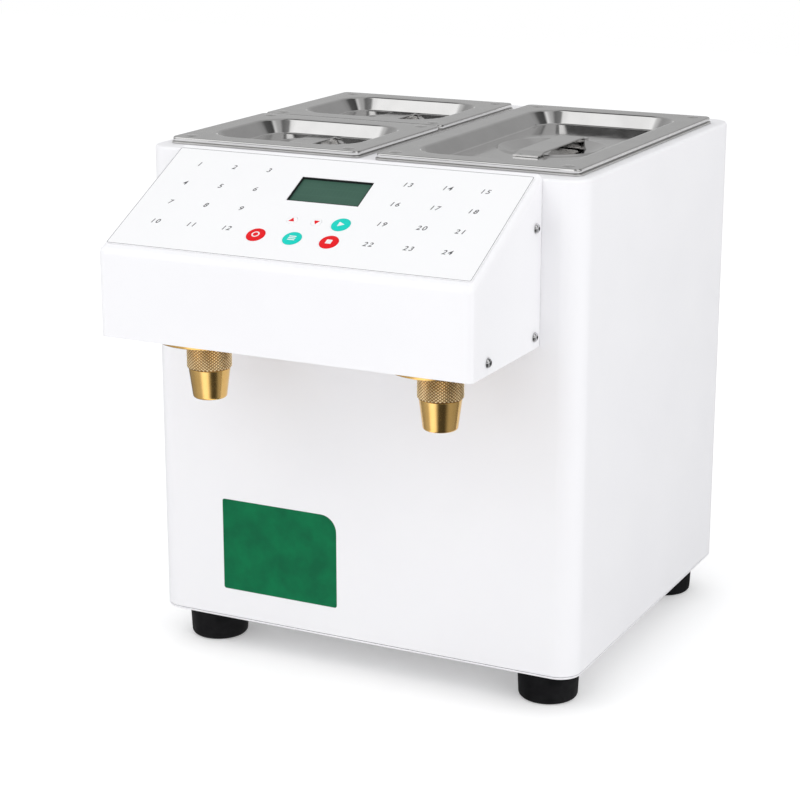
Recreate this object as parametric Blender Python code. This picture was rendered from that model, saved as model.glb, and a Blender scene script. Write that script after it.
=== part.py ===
"""Twin-tank syrup dispenser: white steel cabinet, sloping keypad head, two brass nozzles, three steel lids.

Metres, +Z up, front towards -Y. The origin is on the table, at the middle of the whole outline.
"""

import math

import bmesh
import bpy
from mathutils import Vector

mm = 0.001

# Fits shared by every piece
gap = 0.3 * mm  # between pieces that touch
overrun = 2 * mm  # how far a cutter runs past what it cuts
hole_steps = 12  # sides of a small hole or screw
round_steps = 20
fine_steps = 24
smooth_angle = math.radians(35)

# Cabinet
cabinet_width = 404 * mm
cabinet_depth = 368 * mm
cabinet_height = 422 * mm  # from the underside of the base plate to the top of the deck
cabinet_radius = 20 * mm  # upright corners
sheet = 1.2 * mm  # folded steel wall
base_thickness = 2 * mm
deck_thickness = 1.5 * mm

# Feet
foot_height = 32 * mm
foot_top_radius = 27 * mm
foot_bottom_radius = 25.5 * mm
foot_edge = 2 * mm  # rounding under the foot
foot_inset_x = 38 * mm  # cabinet side to foot axis
foot_inset_y = 40 * mm
stud_radius = 3 * mm
stud_length = 9 * mm

# Head
head_side_inset = 35 * mm  # cabinet side to head end
head_width = cabinet_width - 2 * head_side_inset
head_reach = 130 * mm  # out from the cabinet's front
head_drop = 136 * mm  # deck to the head's underside
head_over_deck = 3.5 * mm
head_bottom_height = cabinet_height - head_drop  # above the underside of the base plate
head_rear_height = head_drop + head_over_deck
head_slope_drop = 66.5 * mm  # from the rear of the slope to its front
head_front_height = head_rear_height - head_slope_drop
head_edge = 3 * mm  # rounding of the casing's outer edges
head_edge_steps = 3
ear_front_height = 24 * mm
ear_top_drop = 31.5 * mm  # top of the slope to the top of the ears
ear_rear_height = head_rear_height - ear_top_drop
ear_rear_depth = 24 * mm
ear_front_inset = 14 * mm  # casing front to the ear's front edge
head_window_inset = 25 * mm  # head end to the way for hoses and wires
head_window_width = head_width - 2 * head_window_inset
head_window_bottom = 22 * mm  # above the head's underside
head_window_height = 70 * mm

# Dome screws in the ends of the head: distance in front of the cabinet, height over the head's underside
screw_front_reach = 101 * mm
screw_rear_reach = 11 * mm
screw_low_height = 10 * mm
screw_high_height = ear_rear_height - screw_low_height
screw_head_radius = 4.4 * mm
screw_dome = 2.4 * mm
screw_shank_radius = 2 * mm
screw_shank_length = 6 * mm
screw_clearance = 0.4 * mm

# Keypad: places run across (x) and down the slope from its top edge
overlay_margin = 4 * mm  # head end to the overlay
overlay_width = head_width - 2 * overlay_margin
overlay_depth = 133 * mm
overlay_top = 5.5 * mm  # top edge of the slope to the overlay
overlay_thickness = 0.8 * mm
overlay_radius = 2 * mm
display_width = 65 * mm
display_depth = 31.5 * mm
display_down = 47 * mm
display_module_depth = 7 * mm
display_module_rim = 5 * mm  # module past the window on each side
board_width = 118 * mm
board_depth = 104 * mm
board_down = 72 * mm
board_thickness = 1.6 * mm
key_radius = 8 * mm
arrow_key_radius = 4.5 * mm
key_proud = 0.4 * mm  # above the overlay
key_travel = 0.5 * mm
key_dome = 0.3 * mm  # extra height at the middle of a key
plunger_radius = 2.5 * mm
key_pitch = 33 * mm
key_column = -4 * mm  # middle column
upper_key_down = 87.5 * mm
lower_key_down = 110 * mm
arrow_key_spacing = 22 * mm

# Tanks and lids
lid_side_inset = 12 * mm  # cabinet side to lid
lid_spread = 16 * mm  # between the left and right lids
lid_front_inset = 20 * mm  # cabinet front to lids
lid_rear_inset = 26 * mm
lid_width = (cabinet_width - 2 * lid_side_inset - lid_spread) / 2
lid_depth = cabinet_depth - lid_front_inset - lid_rear_inset
lid_spacing = lid_width + lid_spread  # middle to middle
lid_height = 4.5 * mm  # folded rim
lid_sheet = 1 * mm
lid_radius = 6 * mm
half_lid_gap = 1.5 * mm
lid_margin = 21 * mm  # flat border
recess_depth = 13 * mm
recess_run = 9 * mm  # how far the sloping wall goes in
recess_radius = 30 * mm
bend = 1.6 * mm  # small folds in lids and tanks
dish_radius = 47 * mm
half_dish_radius = 32 * mm
dish_bead = 0.9 * mm
dish_step = 5 * mm
dish_depth = 10 * mm
dish_wall_share = 0.24  # of the dish radius, taken by each of its sloping rings
dish_shelf_share = 0.16
strap_width = 24 * mm
strap_thickness = 1.5 * mm
strap_foot = 9 * mm  # length that lies on the lid past the dish
strap_rise = 2 * mm
tank_rim_proud = 1.2 * mm  # tank rim past the lid
tank_rim_height = 1.6 * mm
tank_rim_width = 13 * mm
tank_sheet = 1 * mm
tank_depth_share = 0.474  # of the cabinet's height
tank_depth = cabinet_height * tank_depth_share
tank_taper = 7 * mm  # each wall leans in by this from top to bottom
tank_radius = 28 * mm
tank_bottom_radius = 12 * mm
deck_clearance = 2 * mm

# Syrup line
outlet_flange_radius = 16 * mm
outlet_flange_thickness = 4 * mm
outlet_neck_radius = 8 * mm
barb_radius = 4.5 * mm
barb_length = 14 * mm
bore_radius = 3 * mm
hose_radius = 6.5 * mm
hose_sides = 6
hose_bore = (barb_radius + gap) / math.cos(math.pi / hose_sides)  # across the flats it clears the barb
hose_rings = 14
curve_pieces = 12  # fine steps between two route points
pump_width = 64 * mm
pump_depth = 30 * mm
pump_height = 56 * mm
pump_height_share = 0.237  # of the cabinet's height, up to the pump's axis
pump_axis_height = cabinet_height * pump_height_share
pump_front_wall = 6 * mm
gear_teeth = 8
gear_pitch_radius = 10.3 * mm
gear_addendum = 1.5 * mm
gear_dedendum = 1.9 * mm
gear_tip_share = 0.2  # of a tooth pitch, the flat at the tooth's tip
gear_root_share = 0.56
gear_clearance = 0.5 * mm
shaft_radius = 3 * mm
shaft_stub = 4 * mm
shaft_drive_length = 18 * mm  # into the motor
motor_radius = 21 * mm
motor_length = 70 * mm
motor_edge = 2 * mm
bracket_width = 72 * mm
bracket_thickness = 3 * mm
bracket_foot = 34 * mm
hose_wall_clearance = 18 * mm  # front wall to the rising hose's axis

# Nozzles
nozzle_left_inset = 76 * mm  # head end to nozzle axis
nozzle_right_inset = 47 * mm
nozzle_left_x = nozzle_left_inset - head_width / 2
nozzle_right_x = head_width / 2 - nozzle_right_inset
nozzle_inset = 44.5 * mm  # casing front to nozzle axis
flange_radius = 42.5 * mm
flange_thickness = 2.5 * mm
stem_radius = 11 * mm
collar_radius = 18.7 * mm
collar_length = 24 * mm
collar_edge = 1 * mm
tip_top_radius = 17.3 * mm
tip_bottom_radius = 13.9 * mm
tip_length = 25.5 * mm
tip_edge = 1.6 * mm
tip_neck_radius = 10 * mm
tip_lip_radius = 13 * mm
tip_lip_thickness = 1.6 * mm
collar_ledge = 2 * mm  # carries the tip's lip
spout_radius = 5 * mm
thread_clearance = 0.4 * mm

# Rear
panel_side_inset = 28 * mm  # cabinet side to the rear panel
panel_bottom_inset = 16 * mm
panel_top_inset = 20 * mm
panel_lap = 12 * mm  # past the rear window all round
vent_count = 9
vent_width = 4 * mm
vent_height = 60 * mm
vent_pitch = 14 * mm
vent_top_drop = 112 * mm  # deck to the top of the vents
socket_inset = 82 * mm  # cabinet side to the socket's middle
socket_x = socket_inset - cabinet_width / 2
socket_height = 62 * mm
socket_flange_width = 50 * mm
socket_flange_height = 30 * mm
socket_proud = 3 * mm
socket_width = 30 * mm
socket_depth = 24 * mm
socket_tall = 22 * mm
socket_wall = 2.6 * mm
pin_width = 2 * mm
pin_tall = 4 * mm
pin_length = 15 * mm
pin_spread = 7 * mm
pin_rise = 2 * mm
switch_height = 112 * mm
switch_flange_width = 22 * mm
switch_flange_height = 30 * mm
switch_well_width = 13 * mm
switch_well_height = 21 * mm
switch_width = 18 * mm
switch_tall = 26 * mm
switch_depth = 18 * mm
rocker_swing = math.radians(8)  # each way from level
rocker_thickness = 6 * mm
rocker_inset = 1 * mm  # pivot behind the frame's face
rocker_clearance = 0.6 * mm
supply_width = 130 * mm
supply_depth = 66 * mm
supply_height = 42 * mm
supply_inset = 92 * mm  # cabinet's right side to the supply
supply_x = cabinet_width / 2 - supply_inset - supply_width / 2
supply_rear_gap = 14 * mm

# Levels and planes that follow
rear_reach = gap + sheet + socket_proud
front_y = (head_reach - cabinet_depth - rear_reach) / 2
rear_y = front_y + cabinet_depth
middle_y = (front_y + rear_y) / 2
base_bottom = foot_height
base_top = base_bottom + base_thickness
deck_top = base_bottom + cabinet_height
deck_bottom = deck_top - deck_thickness
head_bottom = base_bottom + head_bottom_height
head_front_y = front_y - head_reach
head_back_y = front_y - gap
head_front_top = head_bottom + head_front_height
head_rear_top = head_bottom + head_rear_height
slope_angle = math.atan2(head_rear_height - head_front_height, head_reach)
tank_y = front_y + lid_front_inset + lid_depth / 2
tank_rim_bottom = deck_top + gap
tank_rim_top = tank_rim_bottom + tank_rim_height
tank_floor = tank_rim_top - tank_depth
lid_bottom = tank_rim_top + gap
lid_top = lid_bottom + lid_height
nozzle_y = head_front_y + nozzle_inset
pump_z = base_bottom + pump_axis_height
chassis_half_width = head_width / 2 - sheet - gap
panel_y = rear_y + gap
panel_back_y = panel_y + sheet

axes = {"X": Vector((1, 0, 0)), "Y": Vector((0, 1, 0)), "Z": Vector((0, 0, 1))}

looks = {
    "white_steel": ((0.83, 0.83, 0.84), 0.42, 0.0),
    "plain_steel": ((0.62, 0.62, 0.62), 0.3, 1.0),
    "bright_steel": ((0.72, 0.71, 0.7), 0.2, 1.0),
    "brass": ((0.78, 0.55, 0.2), 0.22, 1.0),
    "black_rubber": ((0.02, 0.02, 0.02), 0.65, 0.0),
    "black_plastic": ((0.03, 0.03, 0.03), 0.4, 0.0),
    "overlay_film": ((0.86, 0.86, 0.86), 0.35, 0.0),
    "display_lens": ((0.05, 0.1, 0.08), 0.08, 0.0),
    "display_grey": ((0.15, 0.17, 0.16), 0.5, 0.0),
    "board_green": ((0.02, 0.18, 0.07), 0.5, 0.0),
    "red_key": ((0.75, 0.01, 0.02), 0.35, 0.0),
    "teal_key": ((0.03, 0.5, 0.45), 0.35, 0.0),
    "clear_hose": ((0.75, 0.75, 0.72), 0.3, 0.0),
    "motor_steel": ((0.4, 0.4, 0.42), 0.35, 1.0),
}


def clear_scene():
    for item in list(bpy.data.objects):
        bpy.data.objects.remove(item, do_unlink=True)


def give_look(item, look):
    colour, roughness, metallic = looks[look]
    material = bpy.data.materials.new(item.name + "_" + look)
    material.use_nodes = True
    shader = material.node_tree.nodes["Principled BSDF"]
    shader.inputs["Base Color"].default_value = (*colour, 1)
    shader.inputs["Roughness"].default_value = roughness
    shader.inputs["Metallic"].default_value = metallic
    item.data.materials.append(material)


def add_object(name, bm, look=None, origin=(0, 0, 0), turn=None):
    """Turns a bmesh, drawn about its own origin, into an object at that origin."""
    bmesh.ops.recalc_face_normals(bm, faces=bm.faces)
    mesh = bpy.data.meshes.new(name)
    bm.to_mesh(mesh)
    bm.free()
    mesh.shade_smooth()
    mesh.set_sharp_from_angle(angle=smooth_angle)
    item = bpy.data.objects.new(name, mesh)
    item.location = origin
    if turn:
        item.rotation_euler = turn
    bpy.context.scene.collection.objects.link(item)
    if look:
        give_look(item, look)
    return item


def rings_to_bmesh(bm, rings, closed):
    """Skins rings of equal counts. A closed skin joins the last ring to the first, an open one is capped."""
    loops = [[bm.verts.new(point) for point in ring] for ring in rings]
    pairs = list(zip(loops, loops[1:]))
    if closed:
        pairs.append((loops[-1], loops[0]))
    else:
        bm.faces.new(loops[0][::-1])
        bm.faces.new(loops[-1])
    for low, high in pairs:
        for here in range(len(low)):
            after = (here + 1) % len(low)
            bm.faces.new((low[here], low[after], high[after], high[here]))


def add_skin(name, rings, look=None, closed=False, origin=(0, 0, 0), turn=None):
    bm = bmesh.new()
    rings_to_bmesh(bm, rings, closed)
    return add_object(name, bm, look, origin, turn)


def add_turned(name, profile, look=None, closed=False, origin=(0, 0, 0), steps=round_steps, turn=None):
    """Turns a profile of (radius, height) pairs about the local Z axis."""
    rings = [[(*point, height) for point in circle(radius, steps)] for radius, height in profile]
    return add_skin(name, rings, look, closed, origin, turn)


def add_prism(name, outline, low_x, high_x, look=None):
    """Extrudes an outline of (y, z) pairs along X."""
    return add_skin(name, [[(x, y, z) for y, z in outline] for x in (low_x, high_x)], look)


def add_box(name, low, high, look=None, origin=(0, 0, 0), turn=None):
    bm = bmesh.new()
    box_to_bmesh(bm, low, high)
    return add_object(name, bm, look, origin, turn)


def box_to_bmesh(bm, low, high):
    corners = [(low[0], low[1]), (high[0], low[1]), (high[0], high[1]), (low[0], high[1])]
    rings_to_bmesh(bm, [[(x, y, z) for x, y in corners] for z in (low[2], high[2])], False)


def combine(target, tool, operation="DIFFERENCE"):
    """Cuts the tool out of the target, or joins it on; the tool stays as a hidden guide."""
    modifier = target.modifiers.new(tool.name, "BOOLEAN")
    modifier.operation = operation
    modifier.solver = "EXACT"
    modifier.object = tool
    tool.hide_render = True
    tool.display_type = "WIRE"


def drill(target, name, points, radius, low, high, axis="Z"):
    """Cuts round holes through the points, from low to high along the axis."""
    bm = bmesh.new()
    turn = Vector((0, 0, 1)).rotation_difference(axes[axis])
    for point in points:
        rings = []
        for along in (low, high):
            ring = circle(radius, hole_steps, math.pi / hole_steps)
            rings.append([Vector(point) + turn @ Vector((*spot, along)) for spot in ring])
        rings_to_bmesh(bm, rings, False)
    combine(target, add_object(name, bm))


def circle(radius, steps, first_turn=0):
    turns = [first_turn + 2 * math.pi * step / steps for step in range(steps)]
    return [(radius * math.cos(turn), radius * math.sin(turn)) for turn in turns]


def rounded(width, depth, radius, corner_steps=4, long_steps=1, short_steps=1):
    """A rectangle with round corners about the origin, from the middle of its +X side, counter-clockwise."""
    flat_x = width / 2 - radius
    flat_y = depth / 2 - radius
    quarter = [(width / 2, flat_y * step / long_steps) for step in range(long_steps)]
    for step in range(corner_steps + 1):
        turn = math.pi / 2 * step / corner_steps
        quarter.append((flat_x + radius * math.cos(turn), flat_y + radius * math.sin(turn)))
    quarter += [(flat_x * (1 - step / short_steps), depth / 2) for step in range(1, short_steps + 1)]
    back = quarter[::-1]
    outline = quarter + [(-x, y) for x, y in back[1:]]
    outline += [(-x, -y) for x, y in quarter[1:]]
    return outline + [(x, -y) for x, y in back[1:-1]]


def at_height(outline, height):
    return [(x, y, height) for x, y in outline]


def slope_point(across, down, out):
    """A point in the keypad's own directions: across, down the slope from its top edge, out of its face."""
    along = Vector((0, -math.cos(slope_angle), -math.sin(slope_angle)))
    normal = Vector((0, -math.sin(slope_angle), math.cos(slope_angle)))
    return Vector((across, front_y, head_rear_top)) + along * down + normal * out


def cabinet_outline(shrink=0):
    return rounded(cabinet_width - 2 * shrink, cabinet_depth - 2 * shrink, cabinet_radius - shrink)


def make_base_plate():
    rings = [at_height(cabinet_outline(), base_bottom), at_height(cabinet_outline(), base_top)]
    plate = add_skin("base_plate", [[(x, y + middle_y, z) for x, y, z in ring] for ring in rings], "white_steel")
    reach = base_thickness + overrun
    points = [(x, y, base_bottom) for x, y in foot_places().values()]
    drill(plate, "foot_holes", points, stud_radius + gap, -overrun, reach)


def foot_places():
    side = cabinet_width / 2 - foot_inset_x
    rows = {"front": front_y + foot_inset_y, "rear": rear_y - foot_inset_y}
    sides = {"left": -side, "right": side}
    return {f"{row}_{name}": (x, y) for row, y in rows.items() for name, x in sides.items()}


def make_feet():
    top = base_bottom - gap
    profile = [
        (foot_bottom_radius - foot_edge, 0),
        (foot_bottom_radius, foot_edge),
        (foot_top_radius, top - foot_edge),
        (foot_top_radius - foot_edge, top),
        (stud_radius, top),
        (stud_radius, top + stud_length),
    ]
    for place, (x, y) in foot_places().items():
        add_turned(f"{place}_foot", profile, "black_rubber", origin=(x, y, 0), steps=round_steps)


def make_cabinet_shell():
    low = base_top + gap
    high = deck_bottom - gap
    outer = cabinet_outline()
    inner = cabinet_outline(sheet)
    rings = [at_height(outer, low), at_height(outer, high), at_height(inner, high), at_height(inner, low)]
    rings = [[(x, y + middle_y, z) for x, y, z in ring] for ring in rings]
    shell = add_skin("cabinet_shell", rings, "white_steel", closed=True)
    half = cabinet_width / 2 - panel_side_inset - panel_lap
    bottom = base_bottom + panel_bottom_inset + panel_lap
    top = deck_top - panel_top_inset - panel_lap
    window = add_box("rear_window", (-half, rear_y - sheet - overrun, bottom), (half, rear_y + overrun, top))
    combine(shell, window)
    combine(shell, head_window("cabinet_front_window", front_y - overrun, front_y + sheet + overrun))


def head_window(name, low_y, high_y):
    bottom = head_bottom + head_window_bottom
    half = head_window_width / 2
    return add_box(name, (-half, low_y, bottom), (half, high_y, bottom + head_window_height))


def tank_centres():
    return {"left": -lid_spacing / 2, "right": lid_spacing / 2}


def tank_wall_size(fall=0):
    """Outer width and depth of a tank's wall, at a depth given as a share of the way down."""
    shrink = 2 * (tank_rim_width - tank_rim_proud) + 2 * tank_taper * fall
    return lid_width - shrink, lid_depth - shrink


def make_top_deck():
    outline = [(x, y + middle_y) for x, y in cabinet_outline()]
    deck = add_skin("top_deck", [at_height(outline, deck_bottom), at_height(outline, deck_top)], "white_steel")
    width, depth = (size + 2 * deck_clearance for size in tank_wall_size())
    hole = rounded(width, depth, tank_radius + deck_clearance)
    for side, x in tank_centres().items():
        rings = [at_height(hole, deck_bottom - overrun), at_height(hole, deck_top + overrun)]
        combine(deck, add_skin(f"{side}_deck_opening", rings, origin=(x, tank_y, 0)))


def make_tanks():
    rim_width = lid_width + 2 * tank_rim_proud
    rim_depth = lid_depth + 2 * tank_rim_proud
    rim_radius = lid_radius + tank_rim_proud
    top_width, top_depth = tank_wall_size()
    low_width, low_depth = tank_wall_size(1)
    floor = tank_floor - tank_rim_top

    def ring(width, depth, radius, inset, height):
        return at_height(rounded(width - 2 * inset, depth - 2 * inset, radius - inset), height)

    rings = [
        ring(low_width, low_depth, tank_radius, tank_bottom_radius, floor),
        ring(low_width, low_depth, tank_radius, tank_bottom_radius * (1 - math.sin(math.pi / 4)),
             floor + tank_bottom_radius * (1 - math.cos(math.pi / 4))),
        ring(low_width, low_depth, tank_radius, 0, floor + tank_bottom_radius),
        ring(top_width, top_depth, tank_radius, 0, -tank_rim_height),
        ring(rim_width, rim_depth, rim_radius, 0, -tank_rim_height),
        ring(rim_width, rim_depth, rim_radius, 0, 0),
        ring(top_width, top_depth, tank_radius, 0, 0),
        ring(top_width, top_depth, tank_radius, tank_sheet, -bend),
        ring(low_width, low_depth, tank_radius, tank_sheet, floor + tank_bottom_radius),
        ring(low_width, low_depth, tank_radius, tank_bottom_radius, floor + tank_sheet),
    ]
    for side, x in tank_centres().items():
        tank = add_skin(f"{side}_tank", rings, "plain_steel", origin=(x, tank_y, tank_rim_top))
        drill(tank, f"{side}_tank_drain", [(x, tank_y, tank_floor)], outlet_neck_radius + gap, -overrun, 2 * overrun)


def lid_rings(width, depth, dish, long_steps, short_steps):
    """Top surface from the dish's middle out to the rim, then the underside back in."""
    steps = {"corner_steps": 3, "long_steps": long_steps, "short_steps": short_steps}
    count = len(rounded(width, depth, lid_radius, **steps))
    wall = dish * dish_wall_share
    shelf = dish * dish_shelf_share
    floor = -recess_depth
    border = [  # inset from the rim, corner radius, height
        (lid_margin + recess_run, recess_radius - recess_run, floor),
        (lid_margin, recess_radius, -bend / 2),
        (lid_margin - bend, recess_radius + bend, 0),
        (lid_sheet, lid_radius - lid_sheet / 2, 0),
        (0, lid_radius, -lid_sheet),
    ]
    pressed = [  # radius, height
        (dish - 2 * wall - shelf, floor - dish_depth),
        (dish - wall - shelf, floor - dish_step),
        (dish - wall, floor - dish_step),
        (dish, floor + dish_bead),
        (dish + bend, floor),
    ]

    def outline(inset, radius, height):
        return at_height(rounded(width - 2 * inset, depth - 2 * inset, radius, **steps), height)

    top = [at_height(circle(radius, count), height) for radius, height in pressed]
    top += [outline(*line) for line in border]
    skirt = [outline(0, lid_radius, -lid_height), outline(lid_sheet, lid_radius - lid_sheet / 2, -lid_height)]
    under = [outline(inset, radius, height - lid_sheet) for inset, radius, height in border[::-1][1:]]
    under[0] = outline(lid_sheet, lid_radius - lid_sheet / 2, -lid_sheet - bend)
    under.insert(1, outline(lid_sheet + bend, lid_radius - lid_sheet / 2, -lid_sheet))
    below = [(radius, height - lid_sheet) for radius, height in pressed[::-1] if height != floor + dish_bead]
    under += [at_height(circle(radius, count), height) for radius, height in below]
    return top + skirt + under


def lid_places():
    """Name of each lid, with its middle, depth, dish radius and steps along its sides."""
    sides = tank_centres()
    half = (lid_depth - half_lid_gap) / 2
    shift = (lid_depth - half) / 2
    return {
        "left_front": (sides["left"], tank_y - shift, half, half_dish_radius, 2, 2),
        "left_rear": (sides["left"], tank_y + shift, half, half_dish_radius, 2, 2),
        "right": (sides["right"], tank_y, lid_depth, dish_radius, 2, 2),
    }


def make_lids():
    for name, (x, y, depth, dish, long_steps, short_steps) in lid_places().items():
        origin = (x, y, lid_top)
        add_skin(f"{name}_lid", lid_rings(lid_width, depth, dish, long_steps, short_steps), "bright_steel", origin=origin)
        low = gap - recess_depth
        high = low + strap_rise
        reach = dish + bend + gap
        path = [(-reach - strap_foot, low), (-reach, low), (-dish, high)]
        path += [(-along, height) for along, height in path[::-1]]
        outline = path + [(along, height + strap_thickness) for along, height in path[::-1]]
        rings = [[(side * strap_width / 2, along, height) for along, height in outline] for side in (-1, 1)]
        add_skin(f"{name}_handle", rings, "bright_steel", origin=origin)


def make_head_casing():
    outer = [(head_back_y, head_bottom), (head_front_y, head_bottom), (head_front_y, head_front_top)]
    outer.append((head_back_y, head_rear_top - math.tan(slope_angle) * gap))
    bm = bmesh.new()
    half = head_width / 2
    rings_to_bmesh(bm, [[(x, y, z) for y, z in outer] for x in (-half, half)], False)
    shown = []
    for edge in bm.edges:
        middle = (edge.verts[0].co + edge.verts[1].co) / 2
        over = middle.z > head_bottom + head_edge
        ahead = middle.y < head_back_y - head_edge
        if over and ahead:
            shown.append(edge)
    bmesh.ops.bevel(bm, geom=shown, offset=head_edge, segments=head_edge_steps, profile=0.5, affect="EDGES")
    casing = add_object("head_casing", bm, "white_steel")
    drop = sheet / math.cos(slope_angle)
    front = head_front_y + sheet
    inner = [(head_back_y + overrun, head_bottom - overrun), (front, head_bottom - overrun)]
    inner.append((front, head_front_top - drop + sheet * math.tan(slope_angle)))
    inner.append((head_back_y + overrun, head_rear_top - drop + overrun * math.tan(slope_angle)))
    combine(casing, add_prism("head_hollow", inner, sheet - half, half - sheet))
    width = display_width + 2 * gap
    depth = display_depth + 2 * gap
    low = (-width / 2, -depth / 2, -sheet - overrun)
    high = (width / 2, depth / 2, overrun)
    hole = add_box("display_hole", low, high, origin=slope_point(0, display_down, 0), turn=(slope_angle, 0, 0))
    combine(casing, hole)
    for name, (across, down, _, _) in key_places().items():
        outline = [(plunger_radius + gap, -sheet - overrun), (plunger_radius + gap, overrun)]
        spot = slope_point(across, down, 0)
        combine(casing, add_turned(f"{name}_hole", outline, origin=spot, turn=(slope_angle, 0, 0)))
    reach = head_width / 2 + overrun
    drill(casing, "casing_screw_holes", screw_points(), screw_shank_radius + screw_clearance, -reach, reach, "X")


def screw_points():
    """Places of the dome screws on each end, on the middle plane."""
    low = head_bottom + screw_low_height
    high = head_bottom + screw_high_height
    rear = front_y - screw_rear_reach
    front = front_y - screw_front_reach
    return [(0, front, low), (0, rear, low), (0, rear, high)]


def make_head_screws():
    head = head_width / 2 + gap
    profile = [
        (screw_shank_radius, -screw_shank_length),
        (screw_shank_radius, 0),
        (screw_head_radius, 0),
        (screw_head_radius * 0.9, screw_dome * 0.5),
        (screw_head_radius * 0.5, screw_dome),
    ]
    names = ("front", "rear_lower", "rear_upper")
    for side, sign in (("left", -1), ("right", 1)):
        for name, (_, y, z) in zip(names, screw_points()):
            turn = (0, sign * math.pi / 2, 0)
            add_turned(f"{side}_{name}_screw", profile, "bright_steel", origin=(sign * head, y, z), steps=hole_steps, turn=turn)


def make_head_chassis():
    half = chassis_half_width
    back = head_back_y
    front = head_front_y + sheet + gap
    ear_front = head_front_y + ear_front_inset
    slope_top = back - ear_rear_depth
    outline = [
        (back, head_bottom),
        (front, head_bottom),
        (front, head_bottom + sheet),
        (ear_front, head_bottom + ear_front_height),
        (slope_top - ear_rear_depth, head_bottom + ear_front_height),
        (slope_top, head_bottom + ear_rear_height),
        (back, head_bottom + ear_rear_height),
    ]
    chassis = add_prism("head_chassis", outline, -half, half, "white_steel")
    low = (sheet - half, front - overrun, head_bottom + sheet)
    high = (half - sheet, back - sheet, head_bottom + ear_rear_height + overrun)
    combine(chassis, add_box("chassis_hollow", low, high))
    combine(chassis, head_window("chassis_window", back - sheet - overrun, back + overrun))
    points = [(x, nozzle_y, head_bottom) for x in (nozzle_left_x, nozzle_right_x)]
    drill(chassis, "nozzle_holes", points, barb_radius + gap, -overrun, sheet + overrun)
    reach = half + overrun
    drill(chassis, "chassis_screw_holes", screw_points(), screw_shank_radius + gap, -reach, reach, "X")


def key_places():
    """Name of each key, with its place across and down the slope, its radius and its look."""
    left = key_column - key_pitch
    right = key_column + key_pitch
    arrows = arrow_key_spacing / 2
    return {
        "red_left_key": (left, lower_key_down, key_radius, "red_key"),
        "teal_middle_key": (key_column, lower_key_down, key_radius, "teal_key"),
        "red_right_key": (right, lower_key_down, key_radius, "red_key"),
        "teal_upper_key": (right, upper_key_down, key_radius, "teal_key"),
        "up_key": (key_column - arrows, upper_key_down, arrow_key_radius, "red_key"),
        "down_key": (key_column + arrows, upper_key_down, arrow_key_radius, "red_key"),
    }


def make_keypad():
    turn = (slope_angle, 0, 0)
    down = overlay_top + overlay_depth / 2
    outline = rounded(overlay_width, overlay_depth, overlay_radius, corner_steps=2)
    rings = [at_height(outline, gap), at_height(outline, gap + overlay_thickness)]
    overlay = add_skin("keypad_overlay", rings, "overlay_film", origin=slope_point(0, down, 0), turn=turn)
    top = gap + overlay_thickness
    low = (-display_width / 2 - gap, -display_depth / 2 - gap, -overrun)
    high = (display_width / 2 + gap, display_depth / 2 + gap, top + overrun)
    combine(overlay, add_box("overlay_window", low, high, origin=slope_point(0, display_down, 0), turn=turn))
    for name, (across, down, radius, look) in key_places().items():
        hole = [(radius + gap, -overrun), (radius + gap, top + overrun)]
        spot = slope_point(across, down, 0)
        combine(overlay, add_turned(f"{name}_opening", hole, origin=spot, turn=turn))
        under = gap + key_travel
        profile = [
            (plunger_radius, key_travel + gap - display_back()),
            (plunger_radius, under),
            (radius, under),
            (radius, top + key_proud),
            (radius * 0.6, top + key_proud + key_dome),
        ]
        add_turned(name, profile, look, origin=spot, turn=turn)


def display_back():
    """How far the back of the display module lies under the casing's face."""
    return sheet + gap + display_module_depth


def make_display():
    turn = (slope_angle, 0, 0)
    spot = slope_point(0, display_down, 0)
    half_x = display_width / 2
    half_y = display_depth / 2
    low = (-half_x, -half_y, -sheet)
    add_box("display_window", low, (half_x, half_y, gap + overlay_thickness), "display_lens", spot, turn)
    low = (-half_x - display_module_rim, -half_y - display_module_rim, -display_back())
    high = (half_x + display_module_rim, half_y + display_module_rim, -sheet - gap)
    add_box("display_module", low, high, "display_grey", spot, turn)
    top = -display_back() - gap
    low = (-board_width / 2, -board_depth / 2, top - board_thickness)
    high = (board_width / 2, board_depth / 2, top)
    add_box("control_board", low, high, "board_green", slope_point(key_column, board_down, 0), turn)


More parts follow.
